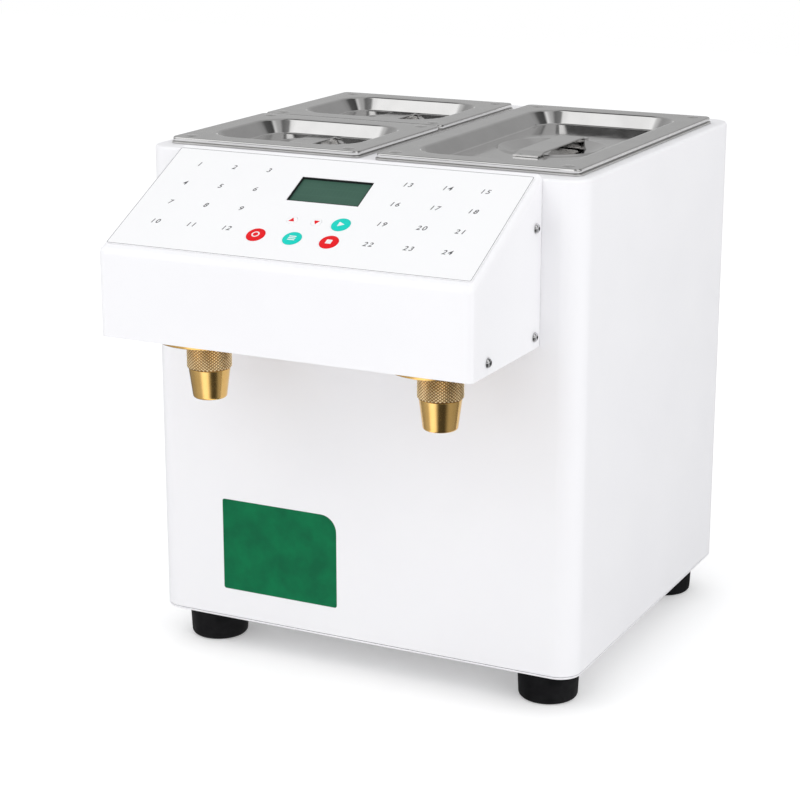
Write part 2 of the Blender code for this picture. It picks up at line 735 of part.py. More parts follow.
def make_nozzles():
    top = head_bottom - gap
    collar_top = -flange_thickness - gap
    collar_bottom = collar_top - collar_length
    lip_bottom = collar_bottom + collar_ledge + gap
    lip_top = lip_bottom + tip_lip_thickness
    barb_top = sheet + 2 * gap + barb_length
    flange = [
        (bore_radius, barb_top),
        (barb_radius, barb_top),
        (barb_radius, 0),
        (flange_radius, 0),
        (flange_radius, -flange_thickness),
        (stem_radius, -flange_thickness),
        (stem_radius, lip_top + gap),
        (bore_radius, lip_top + gap),
    ]
    collar_bore = stem_radius + thread_clearance
    collar = [
        (collar_bore, collar_top),
        (collar_radius - collar_edge, collar_top),
        (collar_radius, collar_top - collar_edge),
        (collar_radius, collar_bottom + collar_edge),
        (collar_radius - collar_edge, collar_bottom),
        (tip_neck_radius + thread_clearance, collar_bottom),
        (tip_neck_radius + thread_clearance, collar_bottom + collar_ledge),
        (tip_lip_radius + thread_clearance, collar_bottom + collar_ledge),
        (tip_lip_radius + thread_clearance, lip_top + gap),
        (collar_bore, lip_top + gap),
    ]
    tip_top = collar_bottom - gap
    tip_bottom = tip_top - tip_length
    tip = [
        (spout_radius, lip_top),
        (tip_lip_radius, lip_top),
        (tip_lip_radius, lip_bottom),
        (tip_neck_radius, lip_bottom),
        (tip_neck_radius, tip_top),
        (tip_top_radius, tip_top),
        (tip_bottom_radius, tip_bottom + tip_edge),
        (tip_bottom_radius - tip_edge * 0.3, tip_bottom + tip_edge * 0.3),
        (tip_bottom_radius - tip_edge, tip_bottom),
        (spout_radius, tip_bottom),
    ]
    for side, x in (("left", nozzle_left_x), ("right", nozzle_right_x)):
        origin = (x, nozzle_y, top)
        add_turned(f"{side}_nozzle_flange", flange, "brass", True, origin, fine_steps)
        add_turned(f"{side}_nozzle_collar", collar, "brass", True, origin, fine_steps)
        add_turned(f"{side}_nozzle_tip", tip, "brass", True, origin, fine_steps)


def make_outlets():
    profile = [
        (bore_radius, tank_sheet),
        (outlet_neck_radius, tank_sheet),
        (outlet_neck_radius, -gap),
        (outlet_flange_radius, -gap),
        (outlet_flange_radius, -gap - outlet_flange_thickness),
        (barb_radius, -gap - outlet_flange_thickness),
        (barb_radius, -gap - outlet_flange_thickness - barb_length),
        (bore_radius, -gap - outlet_flange_thickness - barb_length),
    ]
    for side, x in tank_centres().items():
        add_turned(f"{side}_tank_outlet", profile, "plain_steel", True, (x, tank_y, tank_floor), hole_steps)


def gear_outline(first_turn):
    """Teeth about the origin, counter-clockwise, the first one's middle at the given turn."""
    pitch = 2 * math.pi / gear_teeth
    tip = gear_pitch_radius + gear_addendum
    root = gear_pitch_radius - gear_dedendum
    corners = [(root, -gear_root_share / 2), (tip, -gear_tip_share / 2)]
    corners += [(tip, gear_tip_share / 2), (root, gear_root_share / 2)]
    outline = []
    for tooth in range(gear_teeth):
        for radius, share in corners:
            turn = first_turn + pitch * (tooth + share)
            outline.append((radius * math.cos(turn), radius * math.sin(turn)))
    return outline


def make_gear(name, x, first_turn, back_length):
    """A gear with its shaft, along Y. Local Z runs from the front of the pump to the back."""
    start = pump_front_wall + gear_clearance - pump_depth / 2
    stop = pump_depth / 2 - gear_clearance
    teeth = gear_outline(first_turn)
    origin = (x, tank_y, pump_z)
    turn = (-math.pi / 2, 0, 0)
    gear = add_skin(name, [at_height(teeth, start), at_height(teeth, stop)], "plain_steel", origin=origin, turn=turn)
    shaft = [(shaft_radius, start - shaft_stub), (shaft_radius, stop + back_length)]
    combine(gear, add_turned(f"{name}_shaft", shaft, origin=origin, turn=turn), "UNION")


def cavity_outline(spread, radius):
    """Two round chambers that run into each other, about the origin."""
    half = math.pi - math.acos(spread / radius)
    steps = range(-hole_steps, hole_steps + 1)
    arc = [(spread + radius * math.cos(half * step / hole_steps), radius * math.sin(half * step / hole_steps)) for step in steps]
    return arc + [(-x, -y) for x, y in arc[1:-1]]


def make_pumps():
    spread = gear_pitch_radius + gap / 2
    bracket_y = tank_y + pump_depth / 2 + gap
    motor_y = bracket_y + bracket_thickness + gap
    floor = pump_front_wall - pump_depth / 2
    reach = pump_height / 2 + barb_length
    cavity = cavity_outline(spread, gear_pitch_radius + gear_addendum + gear_clearance)
    back = gear_clearance + gap + bracket_thickness
    turn = (-math.pi / 2, 0, 0)
    for side, x in tank_centres().items():
        origin = (x, tank_y, pump_z)
        half = (pump_width / 2, pump_depth / 2, pump_height / 2)
        body = add_box(f"{side}_pump_body", [-size for size in half], half, "plain_steel", origin)
        barbs = add_turned(f"{side}_pump_barbs", [(barb_radius, -reach), (barb_radius, reach)], origin=origin)
        combine(body, barbs, "UNION")
        rings = [at_height(cavity, floor), at_height(cavity, pump_depth / 2 + overrun)]
        combine(body, add_skin(f"{side}_pump_cavity", rings, origin=origin, turn=turn))
        gears = {"drive": x - spread, "idler": x + spread}
        spots = [(gear_x, tank_y, pump_z) for gear_x in gears.values()]
        drill(body, f"{side}_bearings", spots, shaft_radius + gap, floor - shaft_stub, floor + overrun, "Y")
        drill(body, f"{side}_pump_way", [origin], bore_radius, -reach - overrun, reach + overrun)
        make_gear(f"{side}_drive_gear", gears["drive"], 0, back + gap + shaft_drive_length)
        make_gear(f"{side}_idler_gear", gears["idler"], math.pi + math.pi / gear_teeth, back)
        make_bracket(side, x, bracket_y, gears)
        make_motor(side, gears["drive"], motor_y)


def make_bracket(side, x, bracket_y, gears):
    low = base_top + gap
    top = pump_z + pump_height / 2
    outline = [
        (bracket_y, low),
        (bracket_y + bracket_foot, low),
        (bracket_y + bracket_foot, low + bracket_thickness),
        (bracket_y + bracket_thickness, low + bracket_thickness),
        (bracket_y + bracket_thickness, top),
        (bracket_y, top),
    ]
    bracket = add_prism(f"{side}_pump_bracket", outline, x - bracket_width / 2, x + bracket_width / 2, "plain_steel")
    points = [(gear_x, bracket_y, pump_z) for gear_x in gears.values()]
    drill(bracket, f"{side}_shaft_holes", points, shaft_radius + gap, -overrun, bracket_thickness + overrun, "Y")


def make_motor(side, x, motor_y):
    bore = shaft_radius + gap
    profile = [
        (bore, shaft_drive_length + motor_edge),
        (bore, 0),
        (motor_radius - motor_edge, 0),
        (motor_radius, motor_edge),
        (motor_radius, motor_length - motor_edge),
        (motor_radius - motor_edge, motor_length),
    ]
    turn = (-math.pi / 2, 0, 0)
    add_turned(f"{side}_pump_motor", profile, "motor_steel", origin=(x, motor_y, pump_z), turn=turn)


def smooth_route(points, count):
    """Evenly spaced points on a smooth curve through the inner points, joined to straight leads at both ends."""
    inner = points[1:-1]
    before = inner[1] - (points[1] - points[0]) * 2
    after = inner[-2] + (points[-1] - points[-2]) * 2
    ends = [before, *inner, after]
    fine = []
    for index in range(1, len(ends) - 2):
        near = ends[index - 1:index + 3]
        fine += [curve_point(*near, piece / curve_pieces) for piece in range(curve_pieces)]
    fine.append(inner[-1])
    travel = [0]
    for here, there in zip(fine, fine[1:]):
        travel.append(travel[-1] + (there - here).length)
    spots = [points[0]]
    for step in range(count):
        wanted = travel[-1] * step / (count - 1)
        index = max(place for place in range(len(fine) - 1) if travel[place] <= wanted)
        part = (wanted - travel[index]) / (travel[index + 1] - travel[index])
        spots.append(fine[index].lerp(fine[index + 1], min(part, 1)))
    return spots + [points[-1]]


def curve_point(before, start, stop, after, t):
    """Catmull-Rom curve from start to stop."""
    bend_once = before * 2 - start * 5 + stop * 4 - after
    bend_twice = start * 3 - before - stop * 3 + after
    return start + (stop - before) * (t / 2) + bend_once * (t * t / 2) + bend_twice * (t * t * t / 2)


def add_hose(name, route):
    """A hose with its bore. Its first and last lengths are straight."""
    points = [Vector(point) for point in route]
    spots = smooth_route(points, hose_rings) if len(points) > 2 else points
    last = len(spots) - 1
    across = Vector((1, 0, 0))
    outer = []
    inner = []
    for index, spot in enumerate(spots):
        ahead = spots[min(index + 1, last)] - spots[max(index - 1, 0)]
        if index <= 1:
            ahead = spots[1] - spots[0]
        if index >= last - 1:
            ahead = spots[last] - spots[last - 1]
        ahead.normalize()
        across = (across - ahead * across.dot(ahead)).normalized()
        side = ahead.cross(across)
        for ring, radius in ((outer, hose_radius), (inner, hose_bore)):
            ring.append([spot + across * x + side * y for x, y in circle(radius, hose_sides)])
    add_skin(name, outer + inner[::-1], "clear_hose", closed=True)


def make_hoses():
    pump_reach = pump_height / 2 + gap
    suction_top = tank_floor - 2 * gap - outlet_flange_thickness
    rise_y = front_y + hose_wall_clearance
    low_z = pump_z - pump_reach
    barb_foot = head_bottom + sheet + gap
    loop = 2.6 * barb_length
    for side, nozzle_x in (("left", nozzle_left_x), ("right", nozzle_right_x)):
        x = tank_centres()[side]
        add_hose(f"{side}_suction_hose", [(x, tank_y, suction_top), (x, tank_y, pump_z + pump_reach)])
        half_way = (x + nozzle_x) / 2
        route = [
            (x, tank_y, low_z),
            (x, tank_y, low_z - barb_length),
            (x, tank_y - loop / 2, low_z - loop),
            (x, tank_y - 2 * loop, low_z - loop),
            (x, rise_y + loop / 2, low_z),
            (x, rise_y, pump_z + loop),
            (half_way, rise_y, head_bottom - loop),
            (nozzle_x, rise_y - loop / 3, head_bottom + loop),
            (nozzle_x, nozzle_y + loop / 2, head_bottom + 2 * loop - barb_length / 2),
            (nozzle_x, nozzle_y, barb_foot + barb_length * 2),
            (nozzle_x, nozzle_y, barb_foot),
        ]
        add_hose(f"{side}_delivery_hose", route)


def make_rear_panel():
    half = cabinet_width / 2 - panel_side_inset
    bottom = base_bottom + panel_bottom_inset
    top = deck_top - panel_top_inset
    panel = add_box("rear_panel", (-half, panel_y, bottom), (half, panel_back_y, top), "white_steel")
    bm = bmesh.new()
    for slot in range(vent_count):
        for sign in (-1, 1):
            x = sign * lid_spacing / 2 + (slot - (vent_count - 1) / 2) * vent_pitch
            low = deck_top - vent_top_drop - vent_height
            box_to_bmesh(
                bm,
                (x - vent_width / 2, panel_y - overrun, low),
                (x + vent_width / 2, panel_back_y + overrun, low + vent_height),
            )
    combine(panel, add_object("rear_vents", bm))
    sizes = ((socket_width, socket_tall, socket_height), (switch_width, switch_tall, switch_height))
    for name, (width, tall, height) in zip(("socket_hole", "switch_hole"), sizes):
        x = width / 2 + gap
        z = tall / 2 + gap
        middle = base_bottom + height
        low = (socket_x - x, panel_y - overrun, middle - z)
        combine(panel, add_box(name, low, (socket_x + x, panel_back_y + overrun, middle + z)))


def make_power_socket():
    z = base_bottom + socket_height
    face = panel_back_y + gap
    low = (socket_x - socket_flange_width / 2, face, z - socket_flange_height / 2)
    high = (socket_x + socket_flange_width / 2, panel_back_y + socket_proud, z + socket_flange_height / 2)
    socket = add_box("power_socket", low, high, "black_plastic")
    half = (socket_width / 2, socket_tall / 2)
    front = face - socket_depth
    low = (socket_x - half[0], front, z - half[1])
    high = (socket_x + half[0], panel_back_y + socket_proud / 2, z + half[1])
    combine(socket, add_box("socket_body", low, high), "UNION")
    low = (socket_x - half[0] + socket_wall, front + socket_wall, z - half[1] + socket_wall)
    high = (socket_x + half[0] - socket_wall, panel_back_y + socket_proud + overrun, z + half[1] - socket_wall)
    combine(socket, add_box("socket_hollow", low, high))
    bm = bmesh.new()
    for across, rise in ((-pin_spread, -pin_rise), (0, pin_rise), (pin_spread, -pin_rise)):
        x = socket_x + across
        box_to_bmesh(
            bm,
            (x - pin_width / 2, front + socket_wall / 2, z + rise - pin_tall / 2),
            (x + pin_width / 2, front + socket_wall + pin_length, z + rise + pin_tall / 2),
        )
    combine(socket, add_object("socket_pins", bm), "UNION")


def make_power_switch():
    z = base_bottom + switch_height
    face = panel_back_y + gap
    outside = panel_back_y + socket_proud
    low = (socket_x - switch_flange_width / 2, face, z - switch_flange_height / 2)
    high = (socket_x + switch_flange_width / 2, outside, z + switch_flange_height / 2)
    frame = add_box("switch_frame", low, high, "black_plastic")
    half = (switch_width / 2, switch_tall / 2)
    low = (socket_x - half[0], face - switch_depth, z - half[1])
    high = (socket_x + half[0], panel_back_y + socket_proud / 2, z + half[1])
    combine(frame, add_box("switch_body", low, high), "UNION")
    well = (switch_well_width / 2, switch_well_height / 2)
    floor = outside - rocker_inset - rocker_thickness - 2 * rocker_clearance - rocker_rise()
    low = (socket_x - well[0], floor, z - well[1])
    combine(frame, add_box("switch_well", low, (socket_x + well[0], outside + overrun, z + well[1])))
    reach = switch_well_height / 2 - rocker_clearance
    slant = math.tan(rocker_swing) * reach
    outline = [
        (-rocker_thickness, -reach * 0.7),
        (-rocker_thickness, reach * 0.7),
        (-rocker_thickness / 3, reach * math.cos(rocker_swing)),
        (slant, reach * math.cos(rocker_swing) - slant * math.tan(rocker_swing)),
        (0, 0),
        (slant, slant * math.tan(rocker_swing) - reach * math.cos(rocker_swing)),
        (-rocker_thickness / 3, -reach * math.cos(rocker_swing)),
    ]
    half = well[0] - rocker_clearance / 2
    rings = [[(x, y, height) for y, height in outline] for x in (-half, half)]
    spot = (socket_x, outside - rocker_inset - 2 * slant, z)
    add_skin("switch_rocker", rings, "black_plastic", origin=spot, turn=(rocker_swing, 0, 0))


def rocker_rise():
    """Depth that the rocker's ends sweep as it swings."""
    return math.tan(rocker_swing) * switch_well_height


def make_power_supply():
    low_z = base_top + gap
    high_y = rear_y - sheet - supply_rear_gap
    low = (supply_x - supply_width / 2, high_y - supply_depth, low_z)
    add_box("power_supply", low, (supply_x + supply_width / 2, high_y, low_z + supply_height), "motor_steel")


def make_part():
    clear_scene()
    make_base_plate()
    make_feet()
    make_cabinet_shell()
    make_top_deck()
    make_tanks()
    make_lids()
    make_head_casing()
    make_head_screws()
    make_head_chassis()
    make_keypad()
    make_display()
    make_nozzles()
    make_outlets()
    make_pumps()
    make_hoses()
    make_rear_panel()
    make_power_socket()
    make_power_switch()
    make_power_supply()


make_part()
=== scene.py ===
import math

import bmesh
import bpy
from mathutils import Matrix, Vector


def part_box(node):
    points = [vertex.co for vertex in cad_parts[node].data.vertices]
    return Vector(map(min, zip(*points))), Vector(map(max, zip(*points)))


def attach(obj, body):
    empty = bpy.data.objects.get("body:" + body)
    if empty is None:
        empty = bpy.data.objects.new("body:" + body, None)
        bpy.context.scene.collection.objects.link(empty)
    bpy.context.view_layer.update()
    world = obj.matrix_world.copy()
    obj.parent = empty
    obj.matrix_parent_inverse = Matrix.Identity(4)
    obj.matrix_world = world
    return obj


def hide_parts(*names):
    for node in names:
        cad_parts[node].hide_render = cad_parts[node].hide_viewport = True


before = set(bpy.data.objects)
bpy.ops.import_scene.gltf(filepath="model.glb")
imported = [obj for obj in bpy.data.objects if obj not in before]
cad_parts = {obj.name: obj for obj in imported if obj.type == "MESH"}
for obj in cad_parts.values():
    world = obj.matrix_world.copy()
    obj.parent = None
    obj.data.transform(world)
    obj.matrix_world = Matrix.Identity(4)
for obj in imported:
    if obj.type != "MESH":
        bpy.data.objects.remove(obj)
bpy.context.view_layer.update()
mm = 0.001
hair = 0.02 * mm  # least distance, as of a print from what it lies on
play = 0.3 * mm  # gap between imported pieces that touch
bothSides = ("left", "right")
fourCorners = [(x, y) for x in (-1, 1) for y in (-1, 1)]
print("frame loaded:", len(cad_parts), "nodes")


def inMm(sizes):
    # lengths written in mm, also those inside tuples and dictionaries
    if isinstance(sizes, dict):
        return {name: inMm(size) for name, size in sizes.items()}
    if isinstance(sizes, tuple):
        return tuple(inMm(size) for size in sizes)
    return sizes * mm


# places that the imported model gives

cabinetLow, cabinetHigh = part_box("cabinet_shell")[0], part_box("top_deck")[1]
casingLow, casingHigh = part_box("head_casing")
panelLow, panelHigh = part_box("rear_panel")
baseLow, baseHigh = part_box("base_plate")
head = inMm({
    "slopeDrop": 66.5,  # from the rear of the sloping face to its front
    "sheet": 1.2,
    "edge": 5,  # rounding of the outer edges
    "plainBack": 6,  # edges this near to the rear and the underside stay sharp
    "cutReach": 4,  # how far a cutter runs past the casing
}) | {"edgeSteps": 7}
frontY = cabinetLow.y
slopeAngle = math.atan2(head["slopeDrop"], frontY - casingLow.y)
slopeTop = casingHigh.z + math.tan(slopeAngle) * play
# the keypad's own directions: x across, y up the slope, z out of it, from the middle of its top edge
slope = Matrix.Translation((0, frontY, slopeTop)) @ Matrix.Rotation(slopeAngle, 4, "X")
overlayTop = 1.1 * mm  # film's top over the casing's face


def boxOf(node):
    low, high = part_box(node)
    return low, high, (low + high) / 2


# finishes

usualLook = {
    "grain": (0.3, 0.003), "stretch": (1, 1, 1), "share": 0.5, "roughness": 0.4, "spread": 0.05,
    "metallic": 0, "shine": 0.5, "shader": {},
}
finishLooks = {
    # tone: what slow clouds turn the colour to, share: how much; cloud: their size in mm
    # grain: its size and height in mm; spread: how far the roughness wanders; shine: of the clear top
    "whitePowderCoat": {
        "slot": "white_steel", "colour": (0.885, 0.88, 0.895), "tone": (0.865, 0.86, 0.88), "cloud": 90,
        "grain": (1.5, 0.008), "spread": 0.04, "shine": 0.35,
    },
    "pressedSteel": {
        "slot": "bright_steel", "colour": (0.78, 0.775, 0.77), "tone": (0.68, 0.675, 0.67), "cloud": 24,
        "grain": (0.35, 0.0005), "stretch": (1, 8, 1), "roughness": 0.09, "spread": 0.04, "metallic": 1,
        "wave": (55, 0.08),  # slow waves of thin sheet: size and height in mm
    },
    "drawnSteel": {
        "slot": "plain_steel", "colour": (0.60, 0.595, 0.585), "tone": (0.54, 0.535, 0.53), "cloud": 30,
        "grain": (0.4, 0.0015), "stretch": (1, 1, 9), "roughness": 0.36, "spread": 0.06, "metallic": 1,
    },
    "polishedChrome": {
        "slot": "bright_steel", "colour": (0.72, 0.72, 0.73), "tone": (0.5, 0.5, 0.51), "cloud": 5,
        "grain": (0.3, 0.0004), "roughness": 0.08, "spread": 0.03, "metallic": 1,
    },
    "turnedBrass": {
        "slot": "brass", "colour": (0.87, 0.56, 0.20), "tone": (0.80, 0.49, 0.145), "cloud": 12,
        "grain": (0.5, 0.0008), "stretch": (0.1, 0.1, 1), "roughness": 0.2, "spread": 0.03, "metallic": 1,
        "turned": 0.6,  # strength of the lathe lines
    },
    # the knurled brass is much lighter than the turned brass, a painted highlight on its ridges; its valleys
    # get painted shade
    "knurledBrass": {
        "slot": "brass", "colour": (1.0, 0.82, 0.50), "tone": (0.92, 0.72, 0.38), "cloud": 8,
        "grain": (0.3, 0.001), "roughness": 0.3, "metallic": 0.8, "grooveShadeTone": (0.30, 0.145, 0.035),
        "grooveReach": (18.42, 18.08),  # in mm from the collar's axis: peak and valley of the knurl
    },
    "mouldedRubber": {
        "slot": "black_rubber", "colour": (0.005, 0.005, 0.006), "tone": (0.013, 0.013, 0.014), "cloud": 14,
        "grain": (0.5, 0.012), "roughness": 0.55, "spread": 0.08, "share": 0.7, "shine": 0.12,
    },
    "blackPlastic": {
        "slot": "black_plastic", "colour": (0.013, 0.013, 0.014), "tone": (0.022, 0.022, 0.024), "cloud": 12,
        "grain": (0.35, 0.01), "roughness": 0.42, "spread": 0.08, "share": 0.6, "shine": 0.3,
    },
    "keypadFilm": {
        "slot": "overlay_film", "colour": (0.885, 0.885, 0.89), "tone": (0.87, 0.87, 0.88), "cloud": 60,
        "grain": (0.5, 0.002), "roughness": 0.38, "spread": 0.03, "shine": 0.3,
    },
    "redKeyFilm": {
        "slot": "red_key", "colour": (0.78, 0.004, 0.010), "tone": (0.70, 0.003, 0.008), "cloud": 5,
        "grain": (0.4, 0.003), "roughness": 0.36, "share": 0.4, "shine": 0.2,
    },
    "tealKeyFilm": {
        "slot": "teal_key", "colour": (0.002, 0.62, 0.52), "tone": (0.002, 0.55, 0.46), "cloud": 5,
        "grain": (0.4, 0.003), "roughness": 0.36, "share": 0.4, "shine": 0.2,
    },
    "greyInk": {
        "slot": "overlay_film", "colour": (0.055, 0.055, 0.06), "tone": (0.12, 0.12, 0.125), "cloud": 4,
        "roughness": 0.45, "share": 0.6,
    },
    "paleInk": {
        "slot": "overlay_film", "colour": (0.85, 0.85, 0.85), "tone": (0.78, 0.78, 0.78), "cloud": 4,
    },
    "outlineInk": {
        "slot": "overlay_film", "colour": (0.30, 0.30, 0.31), "tone": (0.40, 0.40, 0.41), "cloud": 9,
        "roughness": 0.45, "share": 0.8,
    },
    "greenVinyl": {
        "slot": "overlay_film", "colour": (0.003, 0.165, 0.062), "tone": (0.003, 0.118, 0.048), "cloud": 26,
        "grain": (0.8, 0.005), "roughness": 0.45, "spread": 0.06, "share": 1, "shine": 0.1,
    },
    "circuitBoard": {
        "slot": "board_green", "colour": (0.015, 0.16, 0.06), "tone": (0.03, 0.22, 0.09), "cloud": 7,
        "grain": (0.6, 0.02), "spread": 0.08, "share": 0.8,
    },
    "displayGrey": {
        "slot": "display_grey", "colour": (0.13, 0.15, 0.14), "tone": (0.1, 0.115, 0.11), "cloud": 9,
        "grain": (0.4, 0.01), "roughness": 0.5, "spread": 0.08, "share": 0.6,
    },
    "hoseSilicone": {
        "slot": "clear_hose", "colour": (0.80, 0.79, 0.74), "tone": (0.7, 0.69, 0.63), "cloud": 18,
        "grain": (0.8, 0.01), "roughness": 0.28, "spread": 0.06, "share": 0.6,
        "shader": {"Transmission Weight": 0.35, "IOR": 1.41},
    },
    "motorZinc": {
        "slot": "motor_steel", "colour": (0.42, 0.42, 0.43), "tone": (0.33, 0.33, 0.345), "cloud": 12,
        "grain": (0.8, 0.008), "roughness": 0.38, "spread": 0.1, "share": 0.8, "metallic": 1,
    },
    "plateAluminium": {
        "slot": "plain_steel", "colour": (0.62, 0.62, 0.63), "tone": (0.54, 0.54, 0.55), "cloud": 16,
        "grain": (0.25, 0.001), "stretch": (0.08, 1, 1), "roughness": 0.33, "spread": 0.06, "metallic": 1,
    },
}
displayLook = {
    "colour": (0.050, 0.118, 0.086), "cell": (0.045, 0.107, 0.078), "tone": (0.058, 0.130, 0.095),
    "cloud": 22, "cells": (16, 2), "area": (56, 19), "cellGap": 0.09, "grain": (0.3, 0.003), "gloss": 0.15,
}


def feed(tree, node, inputs):
    # sets each input of a node to its value, or links it to the output that gives one
    for name, value in inputs.items():
        if isinstance(value, bpy.types.NodeSocket):
            tree.links.new(value, node.inputs[name])
        else:
            node.inputs[name].default_value = value


def addNode(tree, kind, inputs=None, **settings):
    made = tree.nodes.new("ShaderNode" + kind)
    for name, value in settings.items():
        setattr(made, name, value)
    feed(tree, made, inputs or {})
    return made


def addNoise(tree, place, size, detail, stretch=(1, 1, 1)):
    mapping = addNode(tree, "Mapping", {"Vector": place, "Scale": [share / size for share in stretch]})
    inputs = {"Vector": mapping.outputs[0], "Scale": 1, "Detail": detail, "Roughness": 0.55}
    return addNode(tree, "TexNoise", inputs).outputs["Fac"]


def mapValue(tree, value, start, stop):
    limits = {"From Min": start[0], "From Max": stop[0], "To Min": start[1], "To Max": stop[1]}
    return addNode(tree, "MapRange", {"Value": value, **limits}).outputs["Result"]


def mixColours(tree, share, first, second):
    # first and second are colours, or the output that gives one
    first, second = ((*colour, 1) if isinstance(colour, tuple) else colour for colour in (first, second))
    return addNode(tree, "Mix", {0: share, 6: first, 7: second}, data_type="RGBA").outputs[2]


def addBump(tree, height, depth, under=None):
    inputs = {"Strength": 1, "Distance": depth, "Height": height}
    if under:
        inputs["Normal"] = under
    return addNode(tree, "Bump", inputs).outputs["Normal"]


def startMaterial(name):
    material = bpy.data.materials.new(name)
    material.use_nodes = True
    tree = material.node_tree
    return material, tree, tree.nodes["Principled BSDF"], addNode(tree, "TexCoord").outputs["Object"]


def dirtyGrooves(tree, place, colour, look):
    # painted shade: the valleys of the knurl are darker, by distance from the collar's axis
    across = addNode(tree, "Mapping", {"Vector": place, "Scale": (1, 1, 0)})
    reach = addNode(tree, "VectorMath", {0: across.outputs[0]}, operation="LENGTH")
    peak, valley = inMm(look["grooveReach"])
    share = mapValue(tree, reach.outputs["Value"], (valley, 1), (peak, 0))
    return mixColours(tree, share, colour, look["grooveShadeTone"])


def makeFinish(name, look):
    look = usualLook | look
    material, tree, shader, place = startMaterial(name)
    cloud = look["cloud"] * mm
    clouds = mapValue(tree, addNoise(tree, place, cloud, 4), (0.35, 0), (0.65, look["share"]))
    colour = mixColours(tree, clouds, look["colour"], look["tone"])
    # painted shade in the knurl's valleys
    if "grooveShadeTone" in look:
        colour = dirtyGrooves(tree, place, colour, look)
    smooth, dull = look["roughness"] - look["spread"], look["roughness"] + look["spread"]
    roughness = mapValue(tree, addNoise(tree, place, cloud * 0.4, 3), (0.3, smooth), (0.7, dull))
    size, height = inMm(look["grain"])
    normal = addBump(tree, addNoise(tree, place, size, 2, look["stretch"]), height)
    if "wave" in look:
        size, height = inMm(look["wave"])
        normal = addBump(tree, addNoise(tree, place, size, 0), height, normal)
    feed(tree, shader, {
        "Base Color": colour, "Roughness": roughness, "Normal": normal, "Metallic": look["metallic"],
        "Specular IOR Level": look["shine"], **look["shader"],
    })
    if "turned" in look:  # lathe lines run round the piece
        tangent = addNode(tree, "Tangent", direction_type="RADIAL", axis="Z").outputs[0]
        feed(tree, shader, {"Anisotropic": look["turned"], "Anisotropic Rotation": 0.25, "Tangent": tangent})
    return material


def makeDisplayFinish(look):
    # green liquid-crystal panel with a faint grid of character cells
    material, tree, shader, place = startMaterial("displayPanel")
    scale = [count / size for count, size in zip(look["cells"], inMm(look["area"]))]
    mapping = addNode(tree, "Mapping", {"Vector": place, "Location": (0.5, 0.5, 0), "Scale": (*scale, 1)})
    cell, between = (*look["cell"], 1), (*look["colour"], 1)
    cells = addNode(tree, "TexBrick", {
        "Vector": mapping.outputs[0], "Scale": 1, "Brick Width": 1, "Row Height": 1, "Mortar Smooth": 0.2,
        "Mortar Size": look["cellGap"], "Color1": cell, "Color2": cell, "Mortar": between,
    }, offset=0)
    cloud = addNoise(tree, place, look["cloud"] * mm, 2)
    share = mapValue(tree, cloud, (0.3, 0), (0.8, 0.6))
    size, height = inMm(look["grain"])
    feed(tree, shader, {
        "Base Color": mixColours(tree, share, cells.outputs["Color"], look["tone"]),
        "Roughness": mapValue(tree, cloud, (0.3, 0.32), (0.7, 0.42)),
        "Normal": addBump(tree, addNoise(tree, place, size, 1), height),
        "Specular IOR Level": look["gloss"],
    })
    return material


finishes = {name: makeFinish(name, look) for name, look in finishLooks.items()}
finishes["displayPanel"] = makeDisplayFinish(displayLook)
print("finishes made:", len(finishes))


# making shapes

def roundedRect(width, depth, radius, cornerSteps=12, sideSteps=1):
    # from the middle of the +X side, counter-clockwise, always with the same number of points
    flatX, flatY = width / 2 - radius, depth / 2 - radius
    quarter = [(width / 2, flatY * step / sideSteps) for step in range(sideSteps)]
    for step in range(cornerSteps + 1):
        turn = math.pi / 2 * step / cornerSteps
        quarter.append((flatX + radius * math.cos(turn), flatY + radius * math.sin(turn)))
    quarter += [(flatX * (1 - step / sideSteps), depth / 2) for step in range(1, sideSteps + 1)]
    back = quarter[::-1]
    outline = quarter + [(-x, y) for x, y in back[1:]] + [(-x, -y) for x, y in quarter[1:]]
    return outline + [(x, -y) for x, y in back[1:-1]]


def circlePoints(radius, steps):
    turns = [2 * math.pi * step / steps for step in range(steps)]
    return [(radius * math.cos(turn), radius * math.sin(turn)) for turn in turns]


def softProfile(points, radii, steps=4, closed=False):
    # rounds each corner of a line of points by its own radius
    soft = []
    count = len(points)
    for index, (point, radius) in enumerate(zip(points, radii)):
        here = Vector(point)
        if not radius or (not closed and index in (0, count - 1)):
            soft.append(here)
            continue
        back = (Vector(points[index - 1]) - here).normalized()
        ahead = (Vector(points[(index + 1) % count]) - here).normalized()
        half = math.acos(max(-1, min(1, back.dot(ahead)))) / 2
        centre = here + (back + ahead).normalized() * radius / math.sin(half)
        start = here + back * radius / math.tan(half) - centre
        stop = here + ahead * radius / math.tan(half) - centre
        sweep = math.pi - 2 * half
        for step in range(steps + 1):
            share = step / steps
            spot = start * math.sin((1 - share) * sweep) + stop * math.sin(share * sweep)
            soft.append(centre + spot / math.sin(sweep))
    return soft


def atHeight(outline, height, centre=(0, 0)):
    return [(x + centre[0], y + centre[1], height) for x, y in outline]


def turnRings(profile, steps, centre=(0, 0)):
    return [atHeight(circlePoints(radius, steps), height, centre) for radius, height in profile]


def insetRings(size, corner, spots, cornerSteps=12, sideSteps=1, centre=(0, 0)):
    # rounded rectangles; each spot is how far inside and how high one lies, corner(inset) its radius
    rings = []
    for inset, height in spots:
        width, depth = (side - 2 * inset for side in size[:2])
        outline = roundedRect(width, depth, corner(inset), cornerSteps, sideSteps)
        rings.append(atHeight(outline, height, centre))
    return rings


def circleAlong(ring, radius, height, centre=(0, 0)):
    # a circle whose points lie in the directions of another ring's points
    turns = [math.atan2(y - centre[1], x - centre[0]) for x, y, _ in ring]
    return atHeight([(radius * math.cos(turn), radius * math.sin(turn)) for turn in turns], height, centre)


def bandSpots(outer, inner, low, high):
    # section of a flat band, between two radii or two insets
    return [(outer, low), (outer, high), (inner, high), (inner, low)]


